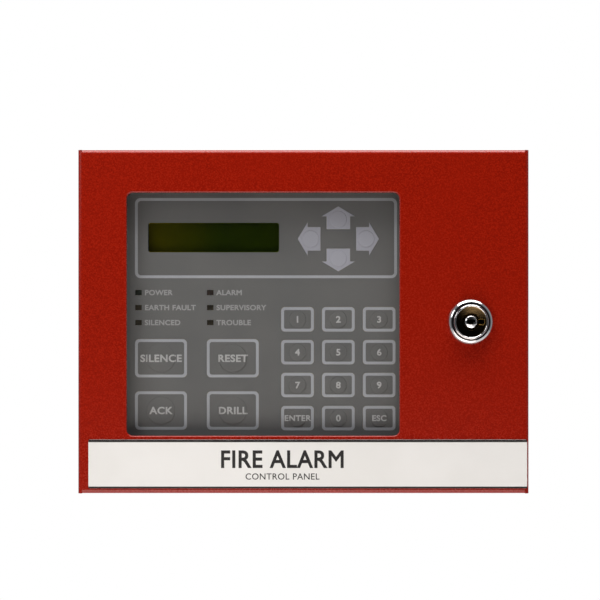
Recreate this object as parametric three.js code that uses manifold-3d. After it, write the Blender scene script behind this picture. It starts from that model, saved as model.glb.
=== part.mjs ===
// Fire alarm control panel: a keypad and display behind a locked steel door, for wall mounting.
//
// Frame, in millimetres: X to the right as the panel is read, Z up, Y from the reader to the wall.
// The origin is the centre of the cabinet's back, on the wall. The code below mostly counts a
// distance from the wall, called "out": a point that is 10 out lies at y = -10.

import * as THREE from "three";
import { mergeVertices } from "three/addons/utils/BufferGeometryUtils.js";
import Module from "manifold-3d";

const wasm = await Module();
wasm.setup();

// ---------------------------------------------------------------- driving dimensions

const WIDTH = 235; // door, over its flanges
const HEIGHT = 179;
const DEPTH = 50.8; // wall to the door's face
const SHEET = 1.2; // cabinet, door and brackets are one gauge of steel
const BEND = 2.0; // outer radius of the door's bends
const FLANGE = 12.7; // how far the door wraps back over the box
const FLANGE_GAP = 0.8; // between the door's flange and the box
const BOX_DEPTH = 43; // wall to the box's front edge
const SEAT = 0.1; // between two faces that rest on each other
const ROUND_FIT = 0.3; // between a round piece and its hole

const BOX_HALF_WIDTH = WIDTH / 2 - SHEET - FLANGE_GAP;
const BOX_HALF_HEIGHT = HEIGHT / 2 - SHEET - FLANGE_GAP;
const DOOR_BACK = DEPTH - SHEET; // the door sheet's inner face

// Hinge: two vertical pins near the left edge, far enough back for the left flange to swing clear.
const HINGE_X = -WIDTH / 2 + 6;
const HINGE_OUT = DEPTH - FLANGE - 6.6;
const PIN_RADIUS = 2;
const EAR_RADIUS = 4;

// Window in the door, and the clear sheet that four nuts hold behind it.
const WINDOW = { left: -92.2, right: 50.1, bottom: -59.5, top: 67.3, radius: 3.2 };
const LENS = { left: -110.5, right: 71.5, bottom: -66.5, top: 73 };
const LENS_THICKNESS = 3;
const STUD_RADIUS = 1.5;
const STUD_TIP = 43.6;
const STUDS = { left: -105.4, right: 66, bottom: -53, top: 63.4 };

const NAME_PLATE = { left: -112, right: 116.5, bottom: -86.8, top: -61.4 };
const NAME_PLATE_THICKNESS = 0.5;

// Cam lock, centred on the door's height.
const LOCK_X = 86.9;
const BARREL_RADIUS = 9.4;
const BARREL_FLAT = 8.1; // half the distance across the barrel's two flats
const BARREL_REAR = 32;
const HEAD_RADIUS = 11.8;
const HEAD_FRONT = 57.2;
const BORE_RADIUS = 4.3;
const PLUG_RADIUS = 4;
const TAIL = 5.6; // square tail of the plug
const CAM_REACH = 22;

// Keypad, from its steel plate outwards: plate, circuit film, overlay with the keys in it.
const PLATE = { left: -105, right: 64, bottom: -75, top: 81, radius: 3 };
const PLATE_OUT = 38;
const FILM_OUT = 39.3;
const FILM_THICKNESS = 0.4;
const OVERLAY = { left: -96, right: 54.5, bottom: -65, top: 71, radius: 2 };
const OVERLAY_OUT = 40;
const OVERLAY_FACE = 41;
const KEY_THICKNESS = 0.7;
const KEY_GAP = 0.3;
const DOME_RISE = 0.6;

const DISPLAY = { x: -47.3, z: 44.2, width: 69, height: 15.6, radius: 1.2 };
const LAMP_ROWS = [15.2, 7.3, -0.6];
const LAMP_WINDOW = { width: 3.5, height: 2.8 };

// Circuit board and the four posts that carry it and the keypad plate.
const BOARD_OUT = 28.4;
const BOARD_THICKNESS = 1.6;
const BOARD_FACE = BOARD_OUT + BOARD_THICKNESS;
const BOARD = { left: -104, right: 63, bottom: -74, top: 80, tab: 82 };
const POSTS = { left: -100, right: 59, bottom: -70, top: 76 };
const POST_RADIUS = 4;
const NECK_RADIUS = 3;
const SCREW_RADIUS = 1.45;

// Cabinet holes.
const KNOCKOUT_RADIUS = 11.1; // half-inch conduit
const KNOCKOUT_GROOVE = 0.8;
const KNOCKOUT_OUT = 22;
const KNOCKOUTS_X = [-58, 58];
const MOUNTING = { x: 95.25, z: 63.5, radius: 3.1, slot: 9, mouthRadius: 5 };
const CABLE_ENTRY = { left: -32, right: 32, bottom: -62, top: -26 };

// ---------------------------------------------------------------- finishes

const finish = (color, roughness, metalness = 0) =>
  new THREE.MeshStandardMaterial({ color, roughness, metalness });
const redPaint = () => finish(0x971a08, 0.5);
const zincPlate = () => finish(0xb9bcc0, 0.35, 0.9);
const chrome = () => finish(0xdfe2e6, 0.08, 1);
const greyFilm = () => finish(0x626262, 0.55);
const arrowPrint = () => finish(0x8f9097, 0.55);
const blackPlastic = () => finish(0x141414, 0.45);
const boardGreen = () => finish(0x1c5a34, 0.5);

// ---------------------------------------------------------------- solids

// A closed three.js geometry as a manifold solid.
function solid(geometry) {
  const bare = geometry.index ? geometry.toNonIndexed() : geometry.clone();
  bare.deleteAttribute("normal");
  bare.deleteAttribute("uv");
  const merged = mergeVertices(bare, 1e-4);
  return new wasm.Manifold(
    new wasm.Mesh({
      numProp: 3,
      vertProperties: merged.attributes.position.array,
      triVerts: new Uint32Array(merged.index.array),
    }),
  );
}

// A named mesh that shows a manifold solid.
function mesh(name, shape, material) {
  const made = shape.getMesh();
  const geometry = new THREE.BufferGeometry();
  geometry.setAttribute("position", new THREE.BufferAttribute(made.vertProperties, 3));
  geometry.setIndex(new THREE.BufferAttribute(made.triVerts, 1));
  geometry.computeVertexNormals();
  const result = new THREE.Mesh(geometry, material);
  result.name = name;
  return result;
}

function circle(x, z, radius) {
  const outline = new THREE.Path();
  outline.absarc(x, z, radius, 0, Math.PI * 2);
  return outline;
}

// A rectangle in X and Z, with round corners where a radius is given.
function rectangle({ left, right, bottom, top, radius = 0 }, Outline = THREE.Shape) {
  const outline = new Outline();
  if (radius === 0) {
    outline.moveTo(left, bottom);
    outline.lineTo(right, bottom);
    outline.lineTo(right, top);
    outline.lineTo(left, top);
    outline.closePath();
    return outline;
  }
  const quarter = Math.PI / 2;
  outline.moveTo(left + radius, bottom);
  outline.absarc(right - radius, bottom + radius, radius, -quarter, 0);
  outline.absarc(right - radius, top - radius, radius, 0, quarter);
  outline.absarc(left + radius, top - radius, radius, quarter, 2 * quarter);
  outline.absarc(left + radius, bottom + radius, radius, 2 * quarter, 3 * quarter);
  outline.closePath();
  return outline;
}

const centred = (x, z, width, height, radius = 0) => ({
  left: x - width / 2,
  right: x + width / 2,
  bottom: z - height / 2,
  top: z + height / 2,
  radius,
});

function extruded(outline, from, to) {
  const geometry = new THREE.ExtrudeGeometry(outline, { depth: to - from, bevelEnabled: false });
  geometry.rotateX(Math.PI / 2);
  geometry.translate(0, -from, 0);
  return solid(geometry);
}

// An outline in X and Z, from one distance out to another. Its holes are punched one by one.
function slab(outline, from, to, curveSegments = 3) {
  const blank = extruded(new THREE.Shape(outline.getPoints(curveSegments)), from, to);
  const punches = (outline.holes ?? []).map((hole) =>
    extruded(new THREE.Shape(hole.getPoints(curveSegments)), from - 1, to + 1),
  );
  return without(blank, ...punches);
}

const block = (box, from, to) => slab(rectangle(box), from, to);

// A profile in X and out, extruded along Z and centred on z = 0.
function rail(profile, length, curveSegments = 4) {
  const geometry = new THREE.ExtrudeGeometry(profile, {
    depth: length,
    bevelEnabled: false,
    curveSegments,
  });
  geometry.translate(0, 0, -length / 2);
  geometry.rotateX(Math.PI);
  return solid(geometry);
}

const lathe = (profile, segments) =>
  new THREE.LatheGeometry(
    profile.map(([r, along]) => new THREE.Vector2(r, along)),
    segments,
  );

// A profile of [radius, out] turned about the axis that faces the reader.
function turned(profile, segments = 16) {
  return solid(lathe(profile, segments).rotateZ(Math.PI));
}

// A profile of [radius, z] turned about a vertical axis.
function upright(profile, segments = 16) {
  return solid(lathe(profile, segments).rotateX(Math.PI / 2));
}

const rod = (radius, from, to, segments = 16) =>
  turned(
    [
      [0, from],
      [radius, from],
      [radius, to],
      [0, to],
    ],
    segments,
  );

const joined = (first, ...others) => others.reduce((sum, other) => sum.add(other), first);
const without = (body, ...cuts) => cuts.reduce((rest, cut) => rest.subtract(cut), body);

// The four corners of a rectangular pattern, with a word for each place.
const corners = ({ left, right, bottom, top }) => [
  ["top_left", left, top],
  ["top_right", right, top],
  ["bottom_left", left, bottom],
  ["bottom_right", right, bottom],
];

// ---------------------------------------------------------------- cabinet

// A knockout: a ring pressed half through the top or bottom wall, so that its disc can be driven out.
function knockoutRing(x, side) {
  const depth = SHEET / 2;
  const inner = KNOCKOUT_RADIUS - KNOCKOUT_GROOVE;
  const ring = upright(
    [
      [inner, -depth],
      [KNOCKOUT_RADIUS, -depth],
      [KNOCKOUT_RADIUS, depth],
      [inner, depth],
      [inner, -depth],
    ],
    20,
  );
  return ring.translate([x, -KNOCKOUT_OUT, side * BOX_HALF_HEIGHT]);
}

// A hole in the back for a wall screw. The upper two are keyholes, to hang the box by while it is levelled.
function mountingHole(x, z) {
  const { radius, slot, mouthRadius } = MOUNTING;
  const through = [-1, SHEET + 1];
  const round = rod(radius, ...through).translate([x, 0, z]);
  if (z < 0) return round;
  const neck = block(centred(x, z - slot / 2, 2 * radius, slot), ...through);
  const mouth = rod(mouthRadius, ...through).translate([x, 0, z - slot]);
  return joined(round, neck, mouth);
}

function backBox() {
  const outside = {
    left: -BOX_HALF_WIDTH,
    right: BOX_HALF_WIDTH,
    bottom: -BOX_HALF_HEIGHT,
    top: BOX_HALF_HEIGHT,
  };
  const inside = centred(0, 0, 2 * (BOX_HALF_WIDTH - SHEET), 2 * (BOX_HALF_HEIGHT - SHEET));
  const tray = without(block(outside, 0, BOX_DEPTH), block(inside, SHEET, BOX_DEPTH + 1));
  const pinHoles = upright([
    [0, -HEIGHT],
    [PIN_RADIUS + ROUND_FIT, -HEIGHT],
    [PIN_RADIUS + ROUND_FIT, HEIGHT],
    [0, HEIGHT],
  ]).translate([HINGE_X, -HINGE_OUT, 0]);
  const rings = KNOCKOUTS_X.flatMap((x) => [knockoutRing(x, 1), knockoutRing(x, -1)]);
  const holes = [-1, 1].flatMap((side) => [
    mountingHole(side * MOUNTING.x, MOUNTING.z),
    mountingHole(side * MOUNTING.x, -MOUNTING.z),
  ]);
  const entry = slab(rectangle({ ...CABLE_ENTRY, radius: 4 }), -1, SHEET + 1);
  return without(tray, pinHoles, entry, ...rings, ...holes);
}

// The pin's head is inside the box, and its end is flush in the door's ear.
function hingePin() {
  const headRadius = 2.5;
  const headHeight = 1.4;
  const wallInside = BOX_HALF_HEIGHT - SHEET - SEAT;
  return upright([
    [0, wallInside - headHeight],
    [headRadius, wallInside - headHeight],
    [headRadius, wallInside],
    [PIN_RADIUS, wallInside],
    [PIN_RADIUS, HEIGHT / 2 - SEAT],
    [0, HEIGHT / 2 - SEAT],
  ]);
}

// Angle welded to the right wall. The lock's cam turns in behind its lip.
function latchStrike() {
  const wall = BOX_HALF_WIDTH - SHEET - ROUND_FIT;
  const lipEdge = 102.5;
  const lipFront = 34;
  const legBack = 18;
  const profile = new THREE.Shape();
  profile.moveTo(lipEdge, lipFront);
  profile.lineTo(lipEdge, lipFront - SHEET);
  profile.lineTo(wall - SHEET, lipFront - SHEET);
  profile.lineTo(wall - SHEET, legBack);
  profile.lineTo(wall, legBack);
  profile.lineTo(wall, lipFront);
  profile.closePath();
  return rail(profile, 28);
}

// ---------------------------------------------------------------- door

// One bent edge of the door, on the right side: the bend and the flange behind it.
function bentEdge(length) {
  const front = DEPTH - BEND;
  const rear = DEPTH - FLANGE;
  const profile = new THREE.Shape();
  profile.moveTo(0, DEPTH);
  profile.absarc(0, front, BEND, Math.PI / 2, 0, true);
  profile.lineTo(BEND, rear);
  profile.lineTo(BEND - SHEET, rear);
  profile.lineTo(BEND - SHEET, front);
  profile.absarc(0, front, BEND - SHEET, 0, Math.PI / 2);
  profile.closePath();
  return rail(profile, length);
}

// Hinge ear: the top flange's tab, which reaches back to the pin.
function hingeEar() {
  const root = DEPTH - FLANGE + 1;
  const outline = new THREE.Shape();
  outline.moveTo(HINGE_X + EAR_RADIUS, root);
  outline.lineTo(HINGE_X - EAR_RADIUS, root);
  outline.lineTo(HINGE_X - EAR_RADIUS, HINGE_OUT);
  outline.absarc(HINGE_X, HINGE_OUT, EAR_RADIUS, Math.PI, 2 * Math.PI);
  outline.closePath();
  outline.holes.push(circle(HINGE_X, HINGE_OUT, PIN_RADIUS + ROUND_FIT));
  return rail(outline, SHEET, 6).translate([0, 0, HEIGHT / 2 - SHEET / 2]);
}

// The lock's hole: round, with two flats that stop the barrel turning.
function lockHole() {
  const radius = BARREL_RADIUS + ROUND_FIT;
  const flat = BARREL_FLAT + ROUND_FIT;
  const angle = Math.asin(flat / radius);
  const outline = new THREE.Path();
  outline.absarc(LOCK_X, 0, radius, -angle, angle);
  outline.absarc(LOCK_X, 0, radius, Math.PI - angle, Math.PI + angle);
  outline.closePath();
  return outline;
}

function doorPanel() {
  const flatWidth = WIDTH - 2 * BEND;
  const flatHeight = HEIGHT - 2 * BEND;
  const face = rectangle(centred(0, 0, flatWidth, flatHeight));
  face.holes.push(rectangle(WINDOW, THREE.Path), lockHole());
  const side = bentEdge(HEIGHT).translate([flatWidth / 2, 0, 0]);
  const head = bentEdge(flatWidth).translate([flatHeight / 2, 0, 0]);
  const ear = hingeEar();
  const studs = corners(STUDS).map(([, x, z]) =>
    rod(STUD_RADIUS, STUD_TIP, DOOR_BACK + SHEET / 2, 10).translate([x, 0, z]),
  );
  return joined(
    slab(face, DOOR_BACK, DEPTH, 5),
    side,
    side.rotate([0, 180, 0]),
    head.rotate([0, -90, 0]),
    head.rotate([0, 90, 0]),
    ear,
    ear.mirror([0, 0, 1]),
    ...studs,
  );
}

function windowLens() {
  const outline = rectangle({ ...LENS, radius: 2 });
  for (const [, x, z] of corners(STUDS)) outline.holes.push(circle(x, z, STUD_RADIUS + ROUND_FIT));
  const front = DOOR_BACK - SEAT;
  return slab(outline, front - LENS_THICKNESS, front);
}

function lensNut() {
  const thickness = 2.4;
  const front = DOOR_BACK - SEAT - LENS_THICKNESS - SEAT;
  const outline = new THREE.Shape();
  for (let side = 0; side < 6; side++) {
    const angle = (side * Math.PI) / 3;
    outline.lineTo(3.2 * Math.cos(angle), 3.2 * Math.sin(angle));
  }
  outline.holes.push(circle(0, 0, STUD_RADIUS + ROUND_FIT));
  return slab(outline, front - thickness, front, 5);
}

// ---------------------------------------------------------------- lock

// Head with a round bead, a rim and a dished face, on a barrel with two flats.
function lockBarrel() {
  const seat = DEPTH + SEAT;
  const dishFoot = 55;
  const body = turned(
    [
      [BORE_RADIUS, BARREL_REAR],
      [BARREL_RADIUS, BARREL_REAR],
      [BARREL_RADIUS, seat],
      [HEAD_RADIUS, seat],
      [HEAD_RADIUS, seat + 1.4],
      [11.4, 54.2],
      [10.5, 55.5],
      [9.3, 56],
      [8.9, 57],
      [8.5, HEAD_FRONT],
      [8.1, 57],
      [7.9, 55.6],
      [BORE_RADIUS + 0.4, dishFoot],
      [BORE_RADIUS, dishFoot - 0.3],
      [BORE_RADIUS, BARREL_REAR],
    ],
    32,
  );
  const beyond = centred(0, 0, 30, 30);
  const overFlat = block({ ...beyond, bottom: BARREL_FLAT }, BARREL_REAR - 1, DEPTH);
  const underFlat = block({ ...beyond, top: -BARREL_FLAT }, BARREL_REAR - 1, DEPTH);
  const keyNotch = block({ left: 3, right: 7.4, bottom: -1.7, top: 1.7 }, dishFoot - 0.4, HEAD_FRONT + 1);
  return without(body, overFlat, underFlat, keyNotch);
}

function lockNut() {
  const front = DOOR_BACK - SEAT;
  const outline = new THREE.Shape();
  for (let side = 0; side < 6; side++) {
    const angle = (side * Math.PI) / 3;
    outline.lineTo(13.2 * Math.cos(angle), 13.2 * Math.sin(angle));
  }
  outline.holes.push(circle(0, 0, BARREL_RADIUS + ROUND_FIT));
  return slab(outline, front - 3, front, 8);
}

// Plug with a domed nose and its keyway, and the square tail that carries the cam.
function lockPlug() {
  const face = 54.7;
  const nose = 56.2;
  const shoulder = BARREL_REAR - ROUND_FIT;
  const tailEnd = 29;
  const keywayFloor = 45;
  const body = turned(
    [
      [0, shoulder],
      [PLUG_RADIUS, shoulder],
      [PLUG_RADIUS, face],
      [3.3, face + 0.1],
      [2.9, face + 0.8],
      [1.8, nose - 0.2],
      [0, nose],
    ],
    20,
  );
  const tail = block(centred(0, 0, TAIL, TAIL), tailEnd, shoulder + 1);
  const slot = block({ left: -2.2, right: 2.2, bottom: -0.1, top: 1.05 }, keywayFloor, nose + 1);
  const ward = block({ left: -2.2, right: 1.2, bottom: -1.05, top: 0 }, keywayFloor, nose + 1);
  const screwHole = rod(SCREW_RADIUS + ROUND_FIT, tailEnd - 1, tailEnd + 6, 10);
  return without(joined(body, tail), slot, ward, screwHole);
}

// The cam hangs down when the door is unlocked.
function lockCam() {
  const hub = 6.5;
  const arm = 5.5;
  const outline = new THREE.Shape();
  outline.moveTo(arm, -CAM_REACH + 1.5);
  outline.lineTo(arm, -Math.sqrt(hub * hub - arm * arm));
  outline.absarc(0, 0, hub, -Math.acos(arm / hub), Math.PI + Math.acos(arm / hub));
  outline.lineTo(-arm, -CAM_REACH + 1.5);
  outline.lineTo(-arm + 1.5, -CAM_REACH);
  outline.lineTo(arm - 1.5, -CAM_REACH);
  outline.closePath();
  const square = TAIL + 2 * ROUND_FIT;
  outline.holes.push(rectangle(centred(0, 0, square, square), THREE.Path));
  return slab(outline, 29.3, 31.4, 10);
}

function camScrew() {
  return turned(
    [
      [0, 27],
      [3.9, 27],
      [4.4, 27.5],
      [4.4, 28.9],
      [SCREW_RADIUS, 28.9],
      [SCREW_RADIUS, 33],
      [0, 33],
    ],
    14,
  );
}

// ---------------------------------------------------------------- keypad

// Each key: name, place, size and the radius of the round dome that is pressed up in it.
const FUNCTION_KEY = { width: 27.6, height: 20.4, radius: 2.8, dome: 7.4 };
const NUMBER_KEY = { width: 17.4, height: 13.1, radius: 2.4, dome: 4.5 };
const ARROW_KEY = { length: 12, head: 5.2, halfHead: 8.7, halfStem: 6.2, dome: 4.4 };

const FUNCTION_COLUMNS = [-75, -37.2];
const FUNCTION_ROWS = [-19.4, -46.9];
const FUNCTION_NAMES = [
  ["silence", "reset"],
  ["acknowledge", "drill"],
];
const NUMBER_COLUMNS = [-3.1, 18.4, 39.9];
const NUMBER_ROWS = [1.1, -16.2, -33.5, -50.9];
const NUMBER_NAMES = [
  ["1", "2", "3"],
  ["4", "5", "6"],
  ["7", "8", "9"],
  ["enter", "0", "escape"],
];
const ARROWS = { x: 18.4, z: 43.5, upright: 5.1, sideways: 9.4 };

const gridKeys = (names, columns, rows, size) =>
  names.flatMap((line, row) =>
    line.map((name, column) => ({ name, x: columns[column], z: rows[row], ...size })),
  );

const roundKeys = [
  ...gridKeys(FUNCTION_NAMES, FUNCTION_COLUMNS, FUNCTION_ROWS, FUNCTION_KEY),
  ...gridKeys(NUMBER_NAMES, NUMBER_COLUMNS, NUMBER_ROWS, NUMBER_KEY),
];

// The arrows point away from a common centre; base is how far each one's flat end is from it.
const arrowKeys = [
  { name: "right", turn: 0, base: ARROWS.sideways },
  { name: "up", turn: 90, base: ARROWS.upright },
  { name: "left", turn: 180, base: ARROWS.sideways },
  { name: "down", turn: 270, base: ARROWS.upright },
];

// An arrow that points to the right from the common centre, made larger all round by grow.
function arrowOutline(base, grow) {
  const { length, head, halfHead, halfStem } = ARROW_KEY;
  const neck = base + length - head;
  const outline = new THREE.Shape();
  outline.moveTo(base - grow, -halfStem - grow);
  outline.lineTo(neck - grow, -halfStem - grow);
  outline.lineTo(neck - grow, -halfHead - 2 * grow);
  outline.lineTo(base + length + 1.2 * grow, 0);
  outline.lineTo(neck - grow, halfHead + 2 * grow);
  outline.lineTo(neck - grow, halfStem + grow);
  outline.lineTo(base - grow, halfStem + grow);
  outline.closePath();
  return outline;
}

// A low dome that stands on the key's face.
function dome(radius) {
  const foot = OVERLAY_FACE - 0.2;
  return turned(
    [
      [0, foot],
      [radius, foot],
      [radius, OVERLAY_FACE],
      [radius * 0.86, OVERLAY_FACE + DOME_RISE * 0.6],
      [radius * 0.5, OVERLAY_FACE + DOME_RISE * 0.92],
      [0, OVERLAY_FACE + DOME_RISE],
    ],
    14,
  );
}

const keyBack = OVERLAY_FACE - KEY_THICKNESS;

function roundKey({ width, height, radius, dome: domeRadius }) {
  const pad = slab(rectangle(centred(0, 0, width, height, radius)), keyBack, OVERLAY_FACE);
  return joined(pad, dome(domeRadius));
}

function arrowKey({ turn, base }) {
  const pad = slab(arrowOutline(base, 0), keyBack, OVERLAY_FACE);
  const domeCentre = base + ARROW_KEY.length * 0.42;
  const key = joined(pad, dome(ARROW_KEY.dome).translate([domeCentre, 0, 0]));
  return key.rotate([0, -turn, 0]);
}

const lampPlaces = FUNCTION_COLUMNS.flatMap((x) =>
  LAMP_ROWS.map((z) => [x - FUNCTION_KEY.width / 2 + 1.9, z]),
);

const displayOpening = (width, height, radius) =>
  rectangle(centred(DISPLAY.x, DISPLAY.z, width, height, radius), THREE.Path);

function keypadPlate() {
  const outline = rectangle(PLATE);
  outline.holes.push(displayOpening(DISPLAY.width + 3.5, DISPLAY.height + 4, 0));
  for (const [x, z] of lampPlaces) outline.holes.push(circle(x, z, 2));
  for (const [, x, z] of corners(POSTS)) outline.holes.push(circle(x, z, SCREW_RADIUS + 0.4));
  return slab(outline, PLATE_OUT, PLATE_OUT + SHEET);
}

function keypadCircuit() {
  const outline = rectangle(OVERLAY);
  outline.holes.push(displayOpening(DISPLAY.width + 1.5, DISPLAY.height + 2, 0));
  for (const [x, z] of lampPlaces) outline.holes.push(circle(x, z, 1.9));
  return slab(outline, FILM_OUT, FILM_OUT + FILM_THICKNESS, 2);
}

function keypadOverlay() {
  const outline = rectangle(OVERLAY);
  outline.holes.push(displayOpening(DISPLAY.width, DISPLAY.height, DISPLAY.radius));
  for (const [x, z] of lampPlaces) {
    outline.holes.push(rectangle(centred(x, z, LAMP_WINDOW.width, LAMP_WINDOW.height), THREE.Path));
  }
  for (const { x, z, width, height, radius } of roundKeys) {
    const grown = centred(x, z, width + 2 * KEY_GAP, height + 2 * KEY_GAP, radius + KEY_GAP);
    outline.holes.push(rectangle(grown, THREE.Path));
  }
  const arrowHoles = arrowKeys.map(({ turn, base }) =>
    slab(arrowOutline(base, KEY_GAP), OVERLAY_OUT - 1, OVERLAY_FACE + 1)
      .rotate([0, -turn, 0])
      .translate([ARROWS.x, 0, ARROWS.z]),
  );
  return without(slab(outline, OVERLAY_OUT, OVERLAY_FACE), ...arrowHoles);
}

// ---------------------------------------------------------------- display, lamps and board

function displayWindow() {
  const box = centred(
    DISPLAY.x,
    DISPLAY.z,
    DISPLAY.width - 2 * KEY_GAP,
    DISPLAY.height - 2 * KEY_GAP,
    DISPLAY.radius,
  );
  return slab(rectangle(box), OVERLAY_OUT + 0.1, OVERLAY_FACE - 0.1);
}

const frameFront = PLATE_OUT - ROUND_FIT;
const frameBack = BOARD_FACE + 1.9;
const glassSize = { width: DISPLAY.width + 4.4, height: DISPLAY.height + 8.8 };

function displayFrame() {
  const { x, z } = DISPLAY;
  const cavity = centred(x, z, glassSize.width + 2 * ROUND_FIT, glassSize.height + 2 * ROUND_FIT);
  const outside = centred(x, z, glassSize.width + 2, glassSize.height + 2);
  const sight = centred(x, z, DISPLAY.width - 0.4, DISPLAY.height);
  return without(
    block(outside, frameBack, frameFront),
    block(cavity, frameBack - 1, frameFront - 0.6),
    block(sight, frameBack, frameFront + 1),
  );
}

const displayGlass = () =>
  block(centred(DISPLAY.x, DISPLAY.z, glassSize.width, glassSize.height), 33.6, frameFront - 0.8);

const displayBoard = () =>
  block(centred(DISPLAY.x, DISPLAY.z, 84, 36), BOARD_FACE + SEAT, BOARD_FACE + SEAT + 1.6);

function lamp() {
  const foot = BOARD_FACE + SEAT;
  return turned(
    [
      [0, foot],
      [1.9, foot],
      [1.9, foot + 1],
      [1.5, foot + 1],
      [1.5, foot + 7],
      [1.1, foot + 8.1],
      [0, foot + 8.5],
    ],
    10,
  );
}

// The board has two tabs that reach past the keypad plate, so that the terminals stay in reach.
function circuitBoard() {
  const outline = new THREE.Shape();
  const { left, right, bottom, top, tab } = BOARD;
  const upperTab = 44;
  const lowerTab = -30;
  outline.moveTo(left, bottom);
  outline.lineTo(tab, bottom);
  outline.lineTo(tab, lowerTab);
  outline.lineTo(right, lowerTab);
  outline.lineTo(right, upperTab);
  outline.lineTo(tab, upperTab);
  outline.lineTo(tab, top);
  outline.lineTo(left, top);
  outline.closePath();
  for (const [, x, z] of corners(POSTS)) outline.holes.push(circle(x, z, NECK_RADIUS + ROUND_FIT));
  return slab(outline, BOARD_OUT, BOARD_FACE, 4);
}

function post() {
  const boreRadius = SCREW_RADIUS + ROUND_FIT;
  return turned(
    [
      [0, SHEET + SEAT],
      [POST_RADIUS, SHEET + SEAT],
      [POST_RADIUS, BOARD_OUT - SEAT],
      [NECK_RADIUS, BOARD_OUT - SEAT],
      [NECK_RADIUS, PLATE_OUT - SEAT],
      [boreRadius, PLATE_OUT - SEAT],
      [boreRadius, PLATE_OUT - 8],
      [0, PLATE_OUT - 8],
    ],
    12,
  );
}

function plateScrew() {
  const seat = PLATE_OUT + SHEET + SEAT;
  return turned(
    [
      [0, PLATE_OUT - 6],
      [SCREW_RADIUS, PLATE_OUT - 6],
      [SCREW_RADIUS, seat],
      [3.2, seat],
      [3.2, seat + 1],
      [2.4, seat + 1.8],
      [0, seat + 2],
    ],
    12,
  );
}

// Screw terminals: a tall rear half with the screws, and a lower step where the wires enter.
function terminalBlock() {
  const foot = BOARD_FACE + SEAT;
  const profile = new THREE.Shape();
  profile.moveTo(68, foot);
  profile.lineTo(78.5, foot);
  profile.lineTo(78.5, foot + 6);
  profile.lineTo(76, foot + 10);
  profile.lineTo(69, foot + 10);
  profile.lineTo(68, foot + 8);
  profile.closePath();
  return rail(profile, 36).translate([0, 0, -53]);
}

function sounder() {
  const foot = BOARD_FACE + SEAT;
  return turned(
    [
      [0, foot],
      [6.9, foot],
      [6.9, foot + 7.1],
      [6.5, foot + 7.5],
      [1.2, foot + 7.5],
      [1.2, foot + 6.5],
      [0, foot + 6.5],
    ],
    20,
  );
}

// ---------------------------------------------------------------- assembly

const panel = new THREE.Group();

const cabinet = new THREE.Group();
panel.add(cabinet);
cabinet.add(mesh("back_box", backBox(), redPaint()));
cabinet.add(mesh("latch_strike", latchStrike(), zincPlate()));

const upperPin = mesh("hinge_pin_upper", hingePin(), zincPlate());
upperPin.position.set(HINGE_X, -HINGE_OUT, 0);
const lowerPin = mesh("hinge_pin_lower", hingePin(), zincPlate());
lowerPin.position.set(HINGE_X, -HINGE_OUT, 0);
lowerPin.rotation.x = Math.PI;
cabinet.add(upperPin, lowerPin);

for (const [place, x, z] of corners(POSTS)) {
  const standing = mesh(`post_${place}`, post(), zincPlate());
  standing.position.set(x, 0, z);
  const screw = mesh(`plate_screw_${place}`, plateScrew(), zincPlate());
  screw.position.set(x, 0, z);
  cabinet.add(standing, screw);
}

const electronics = new THREE.Group();
panel.add(electronics);
electronics.add(mesh("circuit_board", circuitBoard(), boardGreen()));
electronics.add(mesh("terminal_block", terminalBlock(), finish(0x2c6b3f, 0.5)));
electronics.add(mesh("display_board", displayBoard(), boardGreen()));
electronics.add(mesh("display_frame", displayFrame(), blackPlastic()));
electronics.add(mesh("display_glass", displayGlass(), finish(0x1d2205, 0.2)));

const buzzer = mesh("sounder", sounder(), blackPlastic());
buzzer.position.set(72.5, 0, 62);
electronics.add(buzzer);

const LAMP_NAMES = ["power", "earth_fault", "silenced", "alarm", "supervisory", "trouble"];
const LAMP_COLOURS = [0x2f7d32, 0xb38a1e, 0xb38a1e, 0xa31d16, 0xb38a1e, 0xb38a1e];
lampPlaces.forEach(([x, z], index) => {
  const light = mesh(`lamp_${LAMP_NAMES[index]}`, lamp(), finish(LAMP_COLOURS[index], 0.3));
  light.position.set(x, 0, z);
  electronics.add(light);
});

const keypad = new THREE.Group();
panel.add(keypad);
keypad.add(mesh("keypad_plate", keypadPlate(), zincPlate()));
keypad.add(mesh("keypad_circuit", keypadCircuit(), finish(0xc9b98a, 0.5)));
keypad.add(mesh("keypad_overlay", keypadOverlay(), greyFilm()));
keypad.add(mesh("display_window", displayWindow(), finish(0x2a3010, 0.1)));

for (const key of roundKeys) {
  const pad = mesh(`key_${key.name}`, roundKey(key), greyFilm());
  pad.position.set(key.x, 0, key.z);
  keypad.add(pad);
}

const arrows = new THREE.Group();
arrows.position.set(ARROWS.x, 0, ARROWS.z);
keypad.add(arrows);
for (const key of arrowKeys) arrows.add(mesh(`key_${key.name}`, arrowKey(key), arrowPrint()));

const door = new THREE.Group();
panel.add(door);
door.add(mesh("door_panel", doorPanel(), redPaint()));
door.add(mesh("window_lens", windowLens(), finish(0xdfe6ea, 0.05)));
const plateFoot = DEPTH + SEAT;
const nameStrip = slab(rectangle(NAME_PLATE), plateFoot, plateFoot + NAME_PLATE_THICKNESS);
door.add(mesh("name_plate", nameStrip, finish(0xeceae4, 0.5)));

for (const [place, x, z] of corners(STUDS)) {
  const nut = mesh(`lens_nut_${place}`, lensNut(), zincPlate());
  nut.position.set(x, 0, z);
  door.add(nut);
}

const lock = new THREE.Group();
lock.position.set(LOCK_X, 0, 0);
door.add(lock);
lock.add(mesh("lock_barrel", lockBarrel(), chrome()));
lock.add(mesh("lock_nut", lockNut(), zincPlate()));
lock.add(mesh("lock_plug", lockPlug(), chrome()));
lock.add(mesh("lock_cam", lockCam(), zincPlate()));
lock.add(mesh("cam_screw", camScrew(), zincPlate()));

export default panel;
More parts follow.
